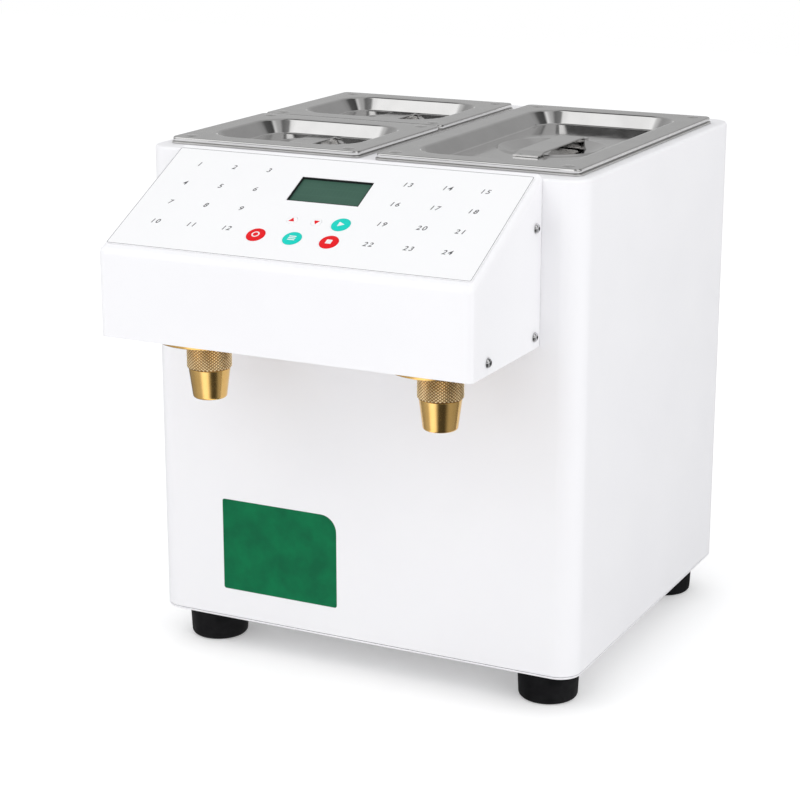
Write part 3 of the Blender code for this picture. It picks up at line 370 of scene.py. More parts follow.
def placeAt(x, y, z, turn=0, axis="X"):
    return Matrix.Translation((x, y, z)) @ Matrix.Rotation(math.radians(turn), 4, axis)


def placed(rings, matrix):
    return [[matrix @ Vector(point) for point in ring] for ring in rings]


def bridge(bm, low, high):
    for here in range(len(low)):
        after = (here + 1) % len(low)
        bm.faces.new((low[here], low[after], high[after], high[here]))


def skinRings(bm, rings, closed=False, capped=True):
    loops = [[bm.verts.new(point) for point in ring] for ring in rings]
    if not closed and capped:
        bm.faces.new(loops[0][::-1])
        bm.faces.new(loops[-1])
    for low, high in zip(loops, loops[1:]):
        bridge(bm, low, high)
    if closed:
        bridge(bm, loops[-1], loops[0])
    return loops


def addObject(name, data, matrix=None):
    made = bpy.data.objects.new(name, data)
    if matrix is not None:
        made.matrix_world = matrix
    bpy.context.scene.collection.objects.link(made)
    return made


def makePiece(name, bm, finish, matrix=None, sharp=35):
    bmesh.ops.recalc_face_normals(bm, faces=bm.faces)
    mesh = bpy.data.meshes.new(name)
    bm.to_mesh(mesh)
    bm.free()
    mesh.shade_smooth()
    mesh.set_sharp_from_angle(angle=math.radians(sharp))
    piece = addObject(name, mesh, matrix)
    if finish:
        mesh.materials.append(finishes[finish])
        piece["finish"] = finish
    return piece


def skinPiece(name, rings, finish, matrix=None, closed=False, sharp=35):
    bm = bmesh.new()
    skinRings(bm, rings, closed)
    return makePiece(name, bm, finish, matrix, sharp)


def turnPiece(name, profile, finish, matrix=None, closed=False, steps=72):
    return skinPiece(name, turnRings(profile, steps), finish, matrix, closed)


def boxPiece(name, low, high, matrix=None):
    corners = [(low[0], low[1]), (high[0], low[1]), (high[0], high[1]), (low[0], high[1])]
    return skinPiece(name, [atHeight(corners, z) for z in (low[2], high[2])], None, matrix)


def finalMesh(piece):
    # its mesh with what its modifiers do
    graph = bpy.context.evaluated_depsgraph_get()
    return bpy.data.meshes.new_from_object(piece.evaluated_get(graph))


def flatten(piece):
    # keeps wide faces flat to the eye beside their rounded edges
    piece.modifiers.new("flatFaces", "WEIGHTED_NORMAL").keep_sharp = True
    return piece


def carve(piece, *cutters):
    for cutter in cutters:
        cut = piece.modifiers.new(cutter.name, "BOOLEAN")
        cut.operation = "DIFFERENCE"
        cut.solver = "EXACT"
        cut.object = cutter
    mesh = finalMesh(piece)
    piece.modifiers.clear()
    piece.data = mesh
    mesh.set_sharp_from_angle(angle=math.radians(35))
    for cutter in cutters:
        bpy.data.objects.remove(cutter)
    return flatten(piece)


def mount(piece, body, *nodes):
    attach(piece, body)
    if nodes:
        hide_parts(*nodes)


# cabinet

cabinet = inMm({
    "cornerRadius": 20,
    "sheet": 1.2,
    "deck": 1.5,
    "topEdge": 2.2,  # fold along the top
    "hem": 0.9,  # fold along the bottom
    "baseEdge": 1.6,
    "baseSharpEdge": 0.2,
    "opening": (162.4, 302.4, 30),  # each tank's hole: width, depth, corner radius
    "rearWindowInset": (40, 28, 32),  # side, bottom, top
    "frontWindow": (284, 340, 410),  # width, bottom, top
    "cutReach": (20, 5),  # how far the cutters of the holes and the windows run
})


def cabinetRings(spots):
    size, centre = cabinetHigh - cabinetLow, (cabinetHigh + cabinetLow) / 2
    return insetRings(size, lambda inset: cabinet["cornerRadius"] - inset, spots, 14, 1, centre)


def buildCabinet():
    sheet, edge, top = cabinet["sheet"], cabinet["topEdge"], cabinetHigh.z
    wall = [(sheet, cabinetLow.z), (0, cabinetLow.z), (0, top), (edge * 3, top)]
    fold = softProfile(wall, [0, cabinet["hem"], edge, 0], 6)
    rings = cabinetRings([(sheet, top - cabinet["deck"]), *fold])
    cover = skinPiece("cabinet_cover", rings, "whitePowderCoat")
    width, depth, radius = cabinet["opening"]
    reach, past = cabinet["cutReach"]
    cutters = []
    for side in bothSides:
        outline = roundedRect(width, depth, radius)
        spans = [atHeight(outline, height, boxOf(f"{side}_tank")[2]) for height in (top - reach, top + reach)]
        cutters.append(skinPiece(f"{side}_opening", spans, None))
    beside, under, over = cabinet["rearWindowInset"]
    across, *span = cabinet["frontWindow"]
    windows = {
        "rear_window": (cabinetHigh.x - beside, cabinetHigh.y, baseLow.z + under, top - over),
        "front_window": (across / 2, frontY, *span),
    }
    for name, (half, wall, low, high) in windows.items():
        cutters.append(boxPiece(name, (-half, wall - past, low), (half, wall + past, high)))
    mount(carve(cover, *cutters), "cabinet", "cabinet_shell", "top_deck")

    inner = cabinet["cornerRadius"] / 2
    rim = [(inner, baseLow.z), (0, baseLow.z), (0, baseHigh.z), (inner, baseHigh.z)]
    rim = softProfile(rim, [0, cabinet["baseEdge"], cabinet["baseSharpEdge"], 0], 5)
    mount(flatten(skinPiece("base_pan", cabinetRings(rim), "whitePowderCoat")), "cabinet", "base_plate")


foot = inMm({
    "bottomRound": 4,
    "topRound": 1,
    "slimmer": 1.5,  # at the floor
    "topInner": 10,  # radius of the opening at the top
    "recess": (7, 9),  # radius and depth of the screw's well
    "recessRound": 0.8,
    "screw": (5.2, 2.6),  # radius and height of its head
    "screwLift": 0.2,
})


def screwHead(bm, matrix, radius, tall, socket=0.5, steps=36):
    # domed head with a six-sided socket, in shares of its radius and height
    dome = [(radius * 0.92, 0), (radius, tall * 0.15), (radius * 0.72, tall * 0.86), (radius * socket, tall)]
    rings = turnRings(softProfile(dome, [0, radius * 0.08, radius * 0.5, 0], 5), steps)
    side = steps // 6
    six = [Vector(point) for point in circlePoints(radius * socket * 0.86, 6)]
    hexagon = []
    for corner, after in zip(six, six[1:] + six[:1]):
        hexagon += [corner.lerp(after, step / side) for step in range(side)]
    rings += [atHeight(hexagon, tall * 0.98), [(x * 0.97, y * 0.97, tall * 0.35) for x, y in hexagon]]
    skinRings(bm, placed(rings, matrix))


def buildFeet():
    heads = bmesh.new()
    for name in ("front_left_foot", "rear_left_foot", "front_right_foot", "rear_right_foot"):
        low, high, centre = boxOf(name)
        top = baseLow.z - play
        wide = (high.x - low.x) / 2
        radius, depth = foot["recess"]
        points = [(radius * 0.97, depth), (radius, 0), (wide - foot["slimmer"], 0), (wide, top)]
        points.append((foot["topInner"], top))
        profile = softProfile(points, [0, foot["recessRound"], foot["bottomRound"], foot["topRound"], 0], 6)
        pad = turnPiece(name + "_pad", profile, "mouldedRubber", placeAt(centre.x, centre.y, 0), steps=96)
        mount(pad, "cabinet", name)
        screwHead(heads, placeAt(centre.x, centre.y, depth + foot["screwLift"], 180), *foot["screw"])
    mount(makePiece("foot_screws", heads, "polishedChrome"), "cabinet")


buildCabinet()
buildFeet()
print("cabinet, base and feet dressed")


# tanks and lids

tank = inMm({
    "rimRadius": 7.2,
    "rimWidth": 13,
    "rimTall": 1.6,
    "rimFolds": (1, 0.7),  # below and above
    "rimSquare": 1.5,  # the rim's corner keeps its shape this far in
    "wallRadius": 28,
    "leastRadius": 4,
    "taper": 7,
    "bottomRound": 14,
    "floorReach": 60,  # flat floor, from the rim inwards
    "sheet": 1,
    "drain": 8.3,
    "shoulder": 3,  # bend from rim to wall
})


def tankCorner(inset):
    # corners open from the rim's radius to the wall's, and close again on the floor
    rim, square = tank["rimWidth"], tank["rimSquare"]
    if inset > rim + tank["taper"]:
        return max(tank["wallRadius"] - (inset - rim - tank["taper"]), tank["leastRadius"])
    share = min(1, max(0, (inset - square) / (rim - square)))
    return tank["rimRadius"] - min(inset, square) + share * (tank["wallRadius"] - tank["rimRadius"] + square)


def buildTanks():
    rim, sheet, middle = tank["rimWidth"], tank["sheet"], tank["floorReach"]
    wall = rim + tank["taper"]
    under, above = tank["rimFolds"]
    for side in bothSides:
        low, high, centre = boxOf(f"{side}_tank")
        lip = high.z - tank["rimTall"]
        outer = [(middle, low.z), (wall, low.z), (rim, lip), (0, lip)]
        over = [(0, high.z), (rim, high.z), (wall, low.z + sheet), (middle, low.z + sheet)]
        line = softProfile(outer, [0, tank["bottomRound"], under, 0], 7)
        inside = len(line) + 9  # from here on the wall's inner side, one sheet further in
        radii = [0, above, tank["shoulder"], tank["bottomRound"] - sheet, 0]
        line += softProfile([outer[-1], *over], radii, 7)[1:]
        line = line[:inside] + [(inset + sheet, height) for inset, height in line[inside:]]
        rings = insetRings(high - low, tankCorner, line, 12, 3, centre)
        drain = [circleAlong(rings[0], tank["drain"], height, centre) for height in (low.z, low.z + sheet)]
        pan = skinPiece(f"{side}_tank_pan", [drain[0], *rings, drain[1]], "drawnSteel", closed=True)
        mount(flatten(pan), "cabinet", f"{side}_tank")


lid = inMm({
    "radius": 6,
    "edge": 1.2,  # fold over the skirt
    "margin": 21,
    "recessRadius": 30,
    "run": 9,  # how far the recess's wall leans in
    "depth": 13,
    "floorReach": 5,
    "upperBend": 3.6,
    "lowerBend": 2.2,
    "sheet": 0.8,
    "beadRun": (3.5, 1.7, -0.2),  # round the dish: start, foot and top of the bead
    "bead": 1.4,
    "step": 5,
    "bowl": 10,
    "dishMiddle": 2,  # radius of its last ring
    "dishBends": (0, 0.8, 0.9, 2, 1.6, 3, 0),
    "pip": (6, 4.6, 0.9),  # stacking pip: half length, half width, height
    "pipInset": (14, 11.5),
}) | {"wallShare": 0.24, "shelfShare": 0.16, "cornerSteps": 14, "sideSteps": 9, "pipSteps": 8}
handle = inMm({
    "width": 24,
    "thick": 1.5,
    "round": 0.55,
    "foot": 9,
    "rise": 2,
    "ramp": (1.5, 3),  # where the strap leaves its foot and reaches its top, from the bead and the dish
    "rampBend": 4,
    "bead": 1.6,
    "weld": (2.1, 0.22),  # radius and height of a spot weld
})
dishes = inMm({"left_front": 32, "left_rear": 32, "right": 47})  # radii


def lidCorner(inset):
    edge, margin, bend = lid["edge"], lid["margin"], lid["upperBend"]
    if inset <= edge:
        return lid["radius"] - inset
    if inset >= margin - bend:
        return lid["recessRadius"] + margin - inset
    share = (inset - edge) / (margin - bend - edge)
    return (lid["radius"] - edge) * (1 - share) + (lid["recessRadius"] + bend) * share


def buildLid(name, dish):
    low, high, centre = boxOf(f"{name}_lid")
    place = placeAt(centre.x, centre.y, high.z)
    size = high - low
    floor = -lid["depth"]
    inner = lid["margin"] + lid["run"]
    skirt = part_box("left_tank")[1].z + play - high.z
    margin = -lid["pip"][2]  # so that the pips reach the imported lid's top
    points = [(0, skirt), (0, margin), (lid["margin"], margin), (inner, floor)]
    points.append((inner + lid["floorReach"], floor))
    pressed = softProfile(points, [0, lid["edge"], lid["upperBend"], lid["lowerBend"], 0], 6)
    rings = insetRings(size, lidCorner, pressed, lid["cornerSteps"], lid["sideSteps"])
    wall, shelf = dish * lid["wallShare"], dish * lid["shelfShare"]
    start, footRun, topRun = lid["beadRun"]
    steps = [
        (dish + start, floor),
        (dish + footRun, floor),
        (dish + topRun, floor + lid["bead"]),
        (dish - wall, floor - lid["step"]),
        (dish - wall - shelf, floor - lid["step"]),
        (dish - 2 * wall - shelf, floor - lid["bowl"]),
        (lid["dishMiddle"], floor - lid["bowl"]),
    ]
    rim = rings[-1]
    rings += [circleAlong(rim, radius, height) for radius, height in softProfile(steps, lid["dishBends"], 5)]
    bm = bmesh.new()
    bm.faces.new(skinRings(bm, rings, capped=False)[-1])
    piece = makePiece(f"{name}_lid_pressing", bm, "pressedSteel", place, 50)
    fold = piece.modifiers.new("sheet", "SOLIDIFY")
    fold.thickness = lid["sheet"]
    fold.offset = -1
    fold.use_even_offset = True
    mount(flatten(piece), f"{name}_lid", f"{name}_lid")
    buildPips(name, place, size)
    buildHandle(name, place, dish, floor)


def buildPips(name, place, size):
    length, wide, tall = lid["pip"]
    bm = bmesh.new()
    for signX, signY in fourCorners:
        centre = (signX * (size.x / 2 - lid["pipInset"][0]), signY * (size.y / 2 - lid["pipInset"][1]))
        rings = []
        for step in range(lid["pipSteps"] + 1):
            turn = math.pi / 2 * step / lid["pipSteps"]
            share = math.cos(turn) * 0.96 + 0.04
            outline = [(x * length * share, y * wide * share) for x, y in circlePoints(1, 40)]
            rings.append(atHeight(outline, tall * (math.sin(turn) ** 1.6 - 1), centre))
        skinRings(bm, rings)
    mount(makePiece(f"{name}_lid_pips", bm, "pressedSteel", place, 60), f"{name}_lid")


def buildHandle(name, place, dish, floor):
    low = floor + play
    high = low + handle["rise"]
    reach = dish + handle["bead"] + play
    far = reach + handle["foot"]
    leave, arrive = handle["ramp"]
    half = [(-far, low), (-reach - leave, low), (-dish + arrive, high), (0, high)]
    path = softProfile(half, [0, handle["rampBend"], handle["rampBend"], 0], 5)
    path += [Vector((-along, height)) for along, height in path[-2::-1]]
    section = roundedRect(handle["width"], handle["thick"], handle["round"], 4)
    rings = []
    for index, (along, height) in enumerate(path):
        edge = 0.965 if index in (0, len(path) - 1) else 1  # softer ends
        middle = height + handle["thick"] / 2
        rings.append([(x * edge, along, middle + z * edge) for x, z in section])
    strap = skinPiece(f"{name}_handle_strap", rings, "pressedSteel", place, sharp=50)
    mount(flatten(strap), f"{name}_lid", f"{name}_handle")
    radius, tall = handle["weld"]
    spot = [(radius, -hair), (radius * 0.85, tall), (radius * 0.62, tall * 0.9), (radius * 0.45, tall * 0.2)]
    top = low + handle["thick"]
    bm = bmesh.new()
    for signY, signX in fourCorners:
        centre = (signX * handle["width"] / 4, signY * (far + reach) / 2)
        skinRings(bm, turnRings([(spread, top + up) for spread, up in spot], 24, centre))
    mount(makePiece(f"{name}_spot_welds", bm, "pressedSteel", place, 60), f"{name}_lid")


buildTanks()
for lidName, lidDish in dishes.items():
    buildLid(lidName, lidDish)
print("tanks, lids and handles dressed")


# head and keypad

overlay = inMm({
    "inset": 4,
    "top": 5.5,  # down the slope
    "depth": 133,
    "radius": 2,
    "edge": 0.25,
    "lift": 0.05,  # film's underside over the casing's face
    "lineInset": 0.3,
    "lineWidth": 0.6,
    "cutReach": 3,
})
display = inMm({
    "size": (65, 31.5),
    "down": 47,
    "radius": 0.6,
    "gap": 0.3,  # between bezel and film
    "wall": 0.5,
    "sunk": 0.1,  # bezel's top under the film's
    "floor": -0.75,  # panel under the casing's face
    "bottom": -1.15,
    "cutReach": 6,
})
keys = {
    # place across and down the slope in mm, finish, mark
    "red_left_key": (-37, 110, "redKeyFilm", "ring"),
    "teal_middle_key": (-4, 110, "tealKeyFilm", "bars"),
    "red_right_key": (29, 110, "redKeyFilm", "square"),
    "teal_upper_key": (29, 87.5, "tealKeyFilm", "start"),
    "up_key": (-15, 87.5, "keypadFilm", "up"),
    "down_key": (7, 87.5, "keypadFilm", "down"),
}
key = inMm({
    "radius": 8,
    "arrowRadius": 4.5,
    "gap": 0.15,  # between key and film
    "proud": 0.4,
    "arrowProud": 0.2,
    "dome": 0.3,
    "edge": 0.25,
    "under": 0.8,
    "stem": (2.5, -6),  # radius and lower end
}) | {"domeSteps": 6}
keyMarks = inMm({
    "bar": (6.4, 1.1, 0.4),  # width, height, corner radius
    "barPitch": 2.1,
    "square": (5, 5, 0.5),
    "ring": (3.4, 2.3),  # outer and inner radius
    "triangles": {"start": 3.4, "up": 3, "down": 3},
})
markTurns = {"start": 0, "up": 90, "down": -90}
legend = inMm({
    # columns across, rows down the slope
    "left": ((-134, -100, -67), (26.8, 53, 79.3, 105.5)),
    "right": ((62, 97, 130), (30, 56, 82, 108)),
    "merge": 0.001,  # points this near become one
})
legendStyle = {
    "size": 7.4 * mm, "offset": 0.09 * mm, "shear": 0.22, "space_character": 1.3, "extrude": hair,
    "resolution_u": 4, "align_x": "CENTER", "align_y": "CENTER",
}


def onSlope(across, down, out=0.0):
    return slope @ placeAt(across, -down, out)


def displayCutter(name, gap, reach):
    wide, tall = (size / 2 + gap for size in display["size"])
    return boxPiece(name, (-wide, -tall, -reach), (wide, tall, reach), onSlope(0, display["down"]))


def headPrism(name, outline, half, edge, finish):
    # the head's section drawn out along X; its seen edges are rounded
    bm = bmesh.new()
    skinRings(bm, [[(x, y, z) for y, z in outline] for x in (-half, half)])
    low = min(z for _, z in outline) + head["plainBack"]
    back = max(y for y, _ in outline) - head["plainBack"]
    shown = []
    for line in bm.edges:
        middle = (line.verts[0].co + line.verts[1].co) / 2
        if middle.z > low and middle.y < back:
            shown.append(line)
    bmesh.ops.bevel(bm, geom=shown, offset=edge, segments=head["edgeSteps"], profile=0.5, affect="EDGES")
    return makePiece(name, bm, finish)


def buildHead():
    half, sheet, edge, past = casingHigh.x, head["sheet"], head["edge"], head["cutReach"]
    back, front, bottom = casingHigh.y, casingLow.y, casingLow.z
    lean = math.tan(slopeAngle)
    frontTop = slopeTop - head["slopeDrop"]
    outer = [(back, bottom), (front, bottom), (front, frontTop), (back, slopeTop - lean * play)]
    casing = headPrism("head_casing_shell", outer, half, edge, "whitePowderCoat")
    drop = sheet / math.cos(slopeAngle)
    front += sheet
    inner = [(back + past, bottom - past), (front, bottom - past), (front, frontTop - drop + sheet * lean)]
    inner.append((back + past, slopeTop - drop + past * lean))
    hollow = headPrism("head_hollow", inner, half - sheet, edge - sheet, None)
    window = displayCutter("display_hole", 0, display["cutReach"])
    mount(carve(casing, hollow, window), "cabinet", "head_casing")


def buildHeadScrews():
    half = casingHigh.x
    for side, sign in zip(bothSides, (-1, 1)):
        for spot in ("front", "rear_lower", "rear_upper"):
            node = f"{side}_{spot}_screw"
            low, high, middle = boxOf(node)
            place = placeAt(sign * (half + hair), middle.y, middle.z, sign * 90, "Y")
            bm = bmesh.new()
            screwHead(bm, place, (high.z - low.z) / 2, max(high.x, -low.x) - half, 0.45)
            mount(makePiece(node + "_dome", bm, "polishedChrome"), "cabinet", node)


def keyRadius(name):
    return key["arrowRadius"] if name in ("up_key", "down_key") else key["radius"]


def buildOverlay():
    size = (2 * (casingHigh.x - overlay["inset"]), overlay["depth"])
    place = onSlope(0, overlay["top"] + overlay["depth"] / 2)
    edge = overlay["edge"]

    def overlayRings(spots):
        return insetRings(size, lambda inset: overlay["radius"] - inset, spots, 6)

    side = [(0, overlay["lift"]), (0, overlayTop - edge), (edge * 0.3, overlayTop - edge * 0.3)]
    film = skinPiece("keypad_film", overlayRings([*side, (edge, overlayTop)]), "keypadFilm", place)
    reach = overlay["cutReach"]
    cutters = [displayCutter("film_window", display["gap"], reach)]
    for name, (across, down, _, _) in keys.items():
        radius = keyRadius(name) + key["gap"]
        spot = onSlope(across * mm, down * mm)
        cutters.append(turnPiece(name + "_cut", [(radius, -reach), (radius, reach)], None, spot, steps=48))
    mount(carve(film, *cutters), "cabinet", "keypad_overlay")

    start = overlay["lineInset"]
    line = overlayRings(bandSpots(start, start + overlay["lineWidth"], overlayTop - hair, overlayTop + hair))
    mount(skinPiece("keypad_outline", line, "outlineInk", place, closed=True), "cabinet")


def buildKey(name, across, down, finish, mark):
    radius = keyRadius(name)
    arrow = finish == "keypadFilm"
    top = overlayTop + key["arrowProud" if arrow else "proud"]
    rise = key["dome"] * radius / key["radius"]
    stem, bottom = key["stem"]
    crown = [(stem, bottom), (stem, key["under"]), (radius, key["under"]), (radius, top)]
    steps = key["domeSteps"]
    for step in range(1, steps + 1):
        share = 1 - step / (steps + 0.5)
        crown.append((radius * share, top + rise * (1 - share * share)))
    profile = softProfile(crown, [0, 0, 0, key["edge"]] + [0] * steps, 3)
    place = onSlope(across * mm, down * mm)
    mount(turnPiece(name + "_cap", profile, finish, place, steps=64), name, name)

    low, high = top + rise * 0.6, top + rise + hair
    bm = bmesh.new()
    if mark == "ring":
        skinRings(bm, turnRings(bandSpots(*keyMarks["ring"], low, high), 48), closed=True)
    for outline in markOutlines(mark):
        skinRings(bm, [atHeight(outline, height) for height in (low, high)])
    mount(makePiece(name + "_mark", bm, "redKeyFilm" if arrow else "paleInk", place), name)


def markOutlines(mark):
    # plain control symbols
    if mark == "bars":
        pitch = keyMarks["barPitch"]
        bar = roundedRect(*keyMarks["bar"], 3)
        return [[(x, y + rise) for x, y in bar] for rise in (-pitch, 0, pitch)]
    if mark == "square":
        return [roundedRect(*keyMarks["square"], 3)]
    if mark == "ring":
        return []
    turn = Matrix.Rotation(math.radians(markTurns[mark]), 2)
    corners = softProfile([(1, 0), (-0.62, 0.86), (-0.62, -0.86)], [0.08] * 3, 3, True)
    return [[turn @ corner * keyMarks["triangles"][mark] for corner in corners]]


def buildLegends():
    bm = bmesh.new()
    places = [(column, row) for side in bothSides for row in legend[side][1] for column in legend[side][0]]
    for number, (across, down) in enumerate(places, 1):
        text = bpy.data.curves.new(f"number_{number}", "FONT")
        text.body = str(number)
        for setting, value in legendStyle.items():
            setattr(text, setting, value)
        holder = addObject(text.name, text)
        mesh = finalMesh(holder)
        mesh.transform(onSlope(across, down, overlayTop))
        bm.from_mesh(mesh)
        bpy.data.objects.remove(holder)
        bpy.data.meshes.remove(mesh)
        bpy.data.curves.remove(text)
    bmesh.ops.remove_doubles(bm, verts=bm.verts, dist=legend["merge"])
    mount(makePiece("keypad_numbers", bm, "greyInk"), "cabinet")


def buildDisplay():
    wall, bottom = display["wall"], display["bottom"]
    place = onSlope(0, display["down"])

    def displayRings(spots):
        return insetRings(display["size"], lambda inset: display["radius"], spots, 4)

    # the bezel's walls are black, painted shade along the edges of the sunk panel; the sunk panel also gets
    # real shadow
    rim = displayRings(bandSpots(0, wall, bottom, overlayTop - display["sunk"]))
    mount(flatten(skinPiece("display_bezel_painted_shade", rim, "blackPlastic", place, closed=True)), "cabinet")
    panel = displayRings([(wall + hair, bottom), (wall + hair, display["floor"])])
    mount(skinPiece("display_panel", panel, "displayPanel", place), "cabinet", "display_window")


buildHead()
buildHeadScrews()
buildOverlay()
for keyName, keySettings in keys.items():
    buildKey(keyName, *keySettings)
buildLegends()
buildDisplay()
print("head, keypad and display dressed")


# nozzles

nozzle = inMm({
    "flange": (42.5, 2.5),  # radius and thickness
    "flangeBends": (0, 0.5, 0, 0.5, 0.7, 0, 0.4, 0),
    "barb": (4.5, 3),  # outer and inner radius of its upper end
    "stem": 11,
    "collarRadius": 18.7,
    "collarTop": -2.8,
    "collarLength": 24,
    "collarEdge": 1,
    "collarChamfer": 0.3,
    "collarNeck": 10.4,  # inner radii, from below
    "collarHollow": 13.4,
    "collarBore": 11.4,
    "ledge": 2.3,  # from the collar's lower end up to the tip's head inside it
    "seat": 1.9,  # from there up to the stem's lower end
    "tipHead": (13, 1.6),  # radius and height
    "tipNeck": 10,
    "tipTop": 17.3,
    "tipBottom": 13.9,
    "tipLength": 25.5,
    "tipBends": (0, 0.3, 0.3, 0, 0, 0.4, 2.4, 0.3, 0.3),
    "spout": 5,
    "spoutChamfer": 1.2,
})
knurl = {"round": 36, "rows": 18, "depth": 0.65 * mm}


def buildNozzle(side):
    _, high, centre = boxOf(f"{side}_nozzle_flange")
    top = casingLow.z - play
    place = placeAt(centre.x, centre.y, top)
    wide, thick = nozzle["flange"]
    barb, bore = nozzle["barb"]
    stem = nozzle["stem"]
    collarBottom = nozzle["collarTop"] - nozzle["collarLength"]
    ledge = collarBottom + nozzle["ledge"]
    seat = ledge + nozzle["seat"]
    points = [(bore, high.z - top), (barb, high.z - top), (barb, 0), (wide, 0), (wide, -thick)]
    points += [(stem, -thick), (stem, seat), (bore, seat)]
    profile = softProfile(points, nozzle["flangeBends"], 4, True)
    disc = turnPiece(f"{side}_flange_disc", profile, "turnedBrass", place, True, 112)
    mount(flatten(disc), "cabinet", f"{side}_nozzle_flange")

    reach, tall = nozzle["tipHead"]
    neck, spout, chamfer = nozzle["tipNeck"], nozzle["spout"], nozzle["spoutChamfer"]
    tipTop = collarBottom - play
    tipBottom = tipTop - nozzle["tipLength"]
    points = [(spout, ledge + tall), (reach, ledge + tall), (reach, ledge), (neck, ledge), (neck, tipTop)]
    points += [(nozzle["tipTop"], tipTop), (nozzle["tipBottom"], tipBottom)]
    points += [(spout + chamfer, tipBottom), (spout, tipBottom + chamfer)]
    profile = softProfile(points, nozzle["tipBends"], 6, True)
    cone = turnPiece(f"{side}_tip_cone", profile, "turnedBrass", place, True, 112)
    mount(flatten(cone), f"{side}_nozzle_tip", f"{side}_nozzle_tip")
    buildCollar(side, place, collarBottom, ledge)


def buildCollar(side, place, bottom, ledge):
    # each diamond of the knurl is a low pyramid, drawn on a checked lattice of high and low points
    count, rows = knurl["round"] * 2, knurl["rows"]
    outer, edge = nozzle["collarRadius"], nozzle["collarEdge"]
    high, low = nozzle["collarTop"] - edge, bottom + edge
    bm = bmesh.new()
    lattice = []
    grooves, crests = circlePoints(outer - knurl["depth"], count), circlePoints(outer, count)
    for row in range(rows + 1):
        height = high + (low - high) * row / rows
        points = [(grooves, crests)[(row + step) % 2][step] for step in range(count)]
        lattice.append([bm.verts.new(point) for point in atHeight(points, height)])
    for row in range(rows):
        for step in range(count):
            after = (step + 1) % count
            upper, lower = lattice[row], lattice[row + 1]
            corners = (upper[step], upper[after], lower[after], lower[step])
            if (row + step) % 2:  # the fold always runs along a groove
                bm.faces.new((corners[0], corners[1], corners[3]))
                bm.faces.new((corners[1], corners[2], corners[3]))
            else:
                bm.faces.new((corners[0], corners[1], corners[2]))
                bm.faces.new((corners[0], corners[2], corners[3]))
    neck, hollow, bore = nozzle["collarNeck"], nozzle["collarHollow"], nozzle["collarBore"]
    rim = outer - knurl["depth"] - nozzle["collarChamfer"]
    seat = ledge + nozzle["seat"]
    inside = [(rim, low - edge), (neck, low - edge), (neck, ledge - play), (hollow, ledge - play)]
    inside += [(hollow, seat), (bore, seat), (bore, high + edge), (rim, high + edge)]
    loops = [lattice[-1]]
    loops += [[bm.verts.new(point) for point in ring] for ring in turnRings(inside, count)]
    loops.append(lattice[0])
    for first, second in zip(loops, loops[1:]):
        bridge(bm, first, second)
    name = f"{side}_nozzle_collar"
    mount(makePiece(f"{side}_knurled_collar", bm, "knurledBrass", place, 12), name, name)


for nozzleSide in bothSides:
    buildNozzle(nozzleSide)
print("nozzles dressed")


# label on the front

label = inMm({
    "span": (-134, -20, 60.5, 144.5),  # left, right, bottom, top
    "bigRadius": 15,  # top corner towards the middle
    "radius": 2,
    "thick": 0.15,
}) | {"cornerSteps": 8}


def buildLabel():
    left, right, bottom, top = label["span"]
    halfX, halfZ = (right - left) / 2, (top - bottom) / 2
    small, steps = label["radius"], label["cornerSteps"]
    corners = [(1, -1, small), (1, 1, label["bigRadius"]), (-1, 1, small), (-1, -1, small)]
    outline = []
    for index, (signX, signZ, radius) in enumerate(corners):
        for step in range(steps + 1):
            turn = math.pi / 2 * (index - 1 + step / steps)
            x = signX * (halfX - radius) + radius * math.cos(turn)
            outline.append((x, signZ * (halfZ - radius) + radius * math.sin(turn)))
    place = placeAt((left + right) / 2, frontY, (bottom + top) / 2, 90)
    rings = [atHeight(outline, height) for height in (-hair, label["thick"])]
    mount(skinPiece("front_label", rings, "greenVinyl", place), "cabinet")


buildLabel()
print("label stuck on")


# rear

rear = inMm({
    "screwInset": 6,
    "screw": (3.6, 1.8),  # radius and height of its head
    "plate": (72, 42, 0.8),
    "plateAt": (100, 112),
    "plateRadius": 3,
    "rivetInset": 4,
    "rivet": ((1.6, 0.7), (1.5, 1.1), (1, 1.5), (0.3, 1.65)),  # radius and height, from the plate up
    "pin": (2.2, 4.2, 0.4),  # width, height, corner radius
    "pinsAt": ((-7, -2), (0, 2), (7, -2)),
    "pinSpan": (2.4, 16.7, 17.9),  # from the socket's inner end: foot, start of the slim end, end
    "rockerMiddle": 1,  # faces this near to the rocker's middle line carry no mark
    "bar": (0.8, 4.2, 0.2),  # width, height, corner radius
    "ring": (2.2, 1.5),  # outer and inner radius
}) | {"screwShares": (0, 0.33, 0.67, 1), "pinShares": (1, 1, 0.55)}


def buildRear():
    back = panelHigh.y
    inset = rear["screwInset"]
    low, high, side = panelLow.z + inset, panelHigh.z - inset, panelHigh.x - inset
    spots = [(sign * side, low + (high - low) * share) for share in rear["screwShares"] for sign in (-1, 1)]
    bm = bmesh.new()
    for x, z in [*spots, (0, low), (0, high)]:
        screwHead(bm, placeAt(x, back, z, -90), *rear["screw"], 0.45)
    mount(makePiece("rear_panel_screws", bm, "polishedChrome"), "cabinet")

    width, tall, thick = rear["plate"]
    x, z = rear["plateAt"]
    place = placeAt(x, back, z, -90)
    rings = [atHeight(roundedRect(width, tall, rear["plateRadius"], 6), height) for height in (-hair, thick)]
    mount(skinPiece("bare_plate", rings, "plateAluminium", place), "cabinet")
    inset = rear["rivetInset"]
    rivets = bmesh.new()
    for signX, signY in fourCorners:
        spot = (signX * (width / 2 - inset), signY * (tall / 2 - inset))
        skinRings(rivets, turnRings(rear["rivet"], 24, spot))
    mount(makePiece("plate_rivets", rivets, "polishedChrome", place), "cabinet")


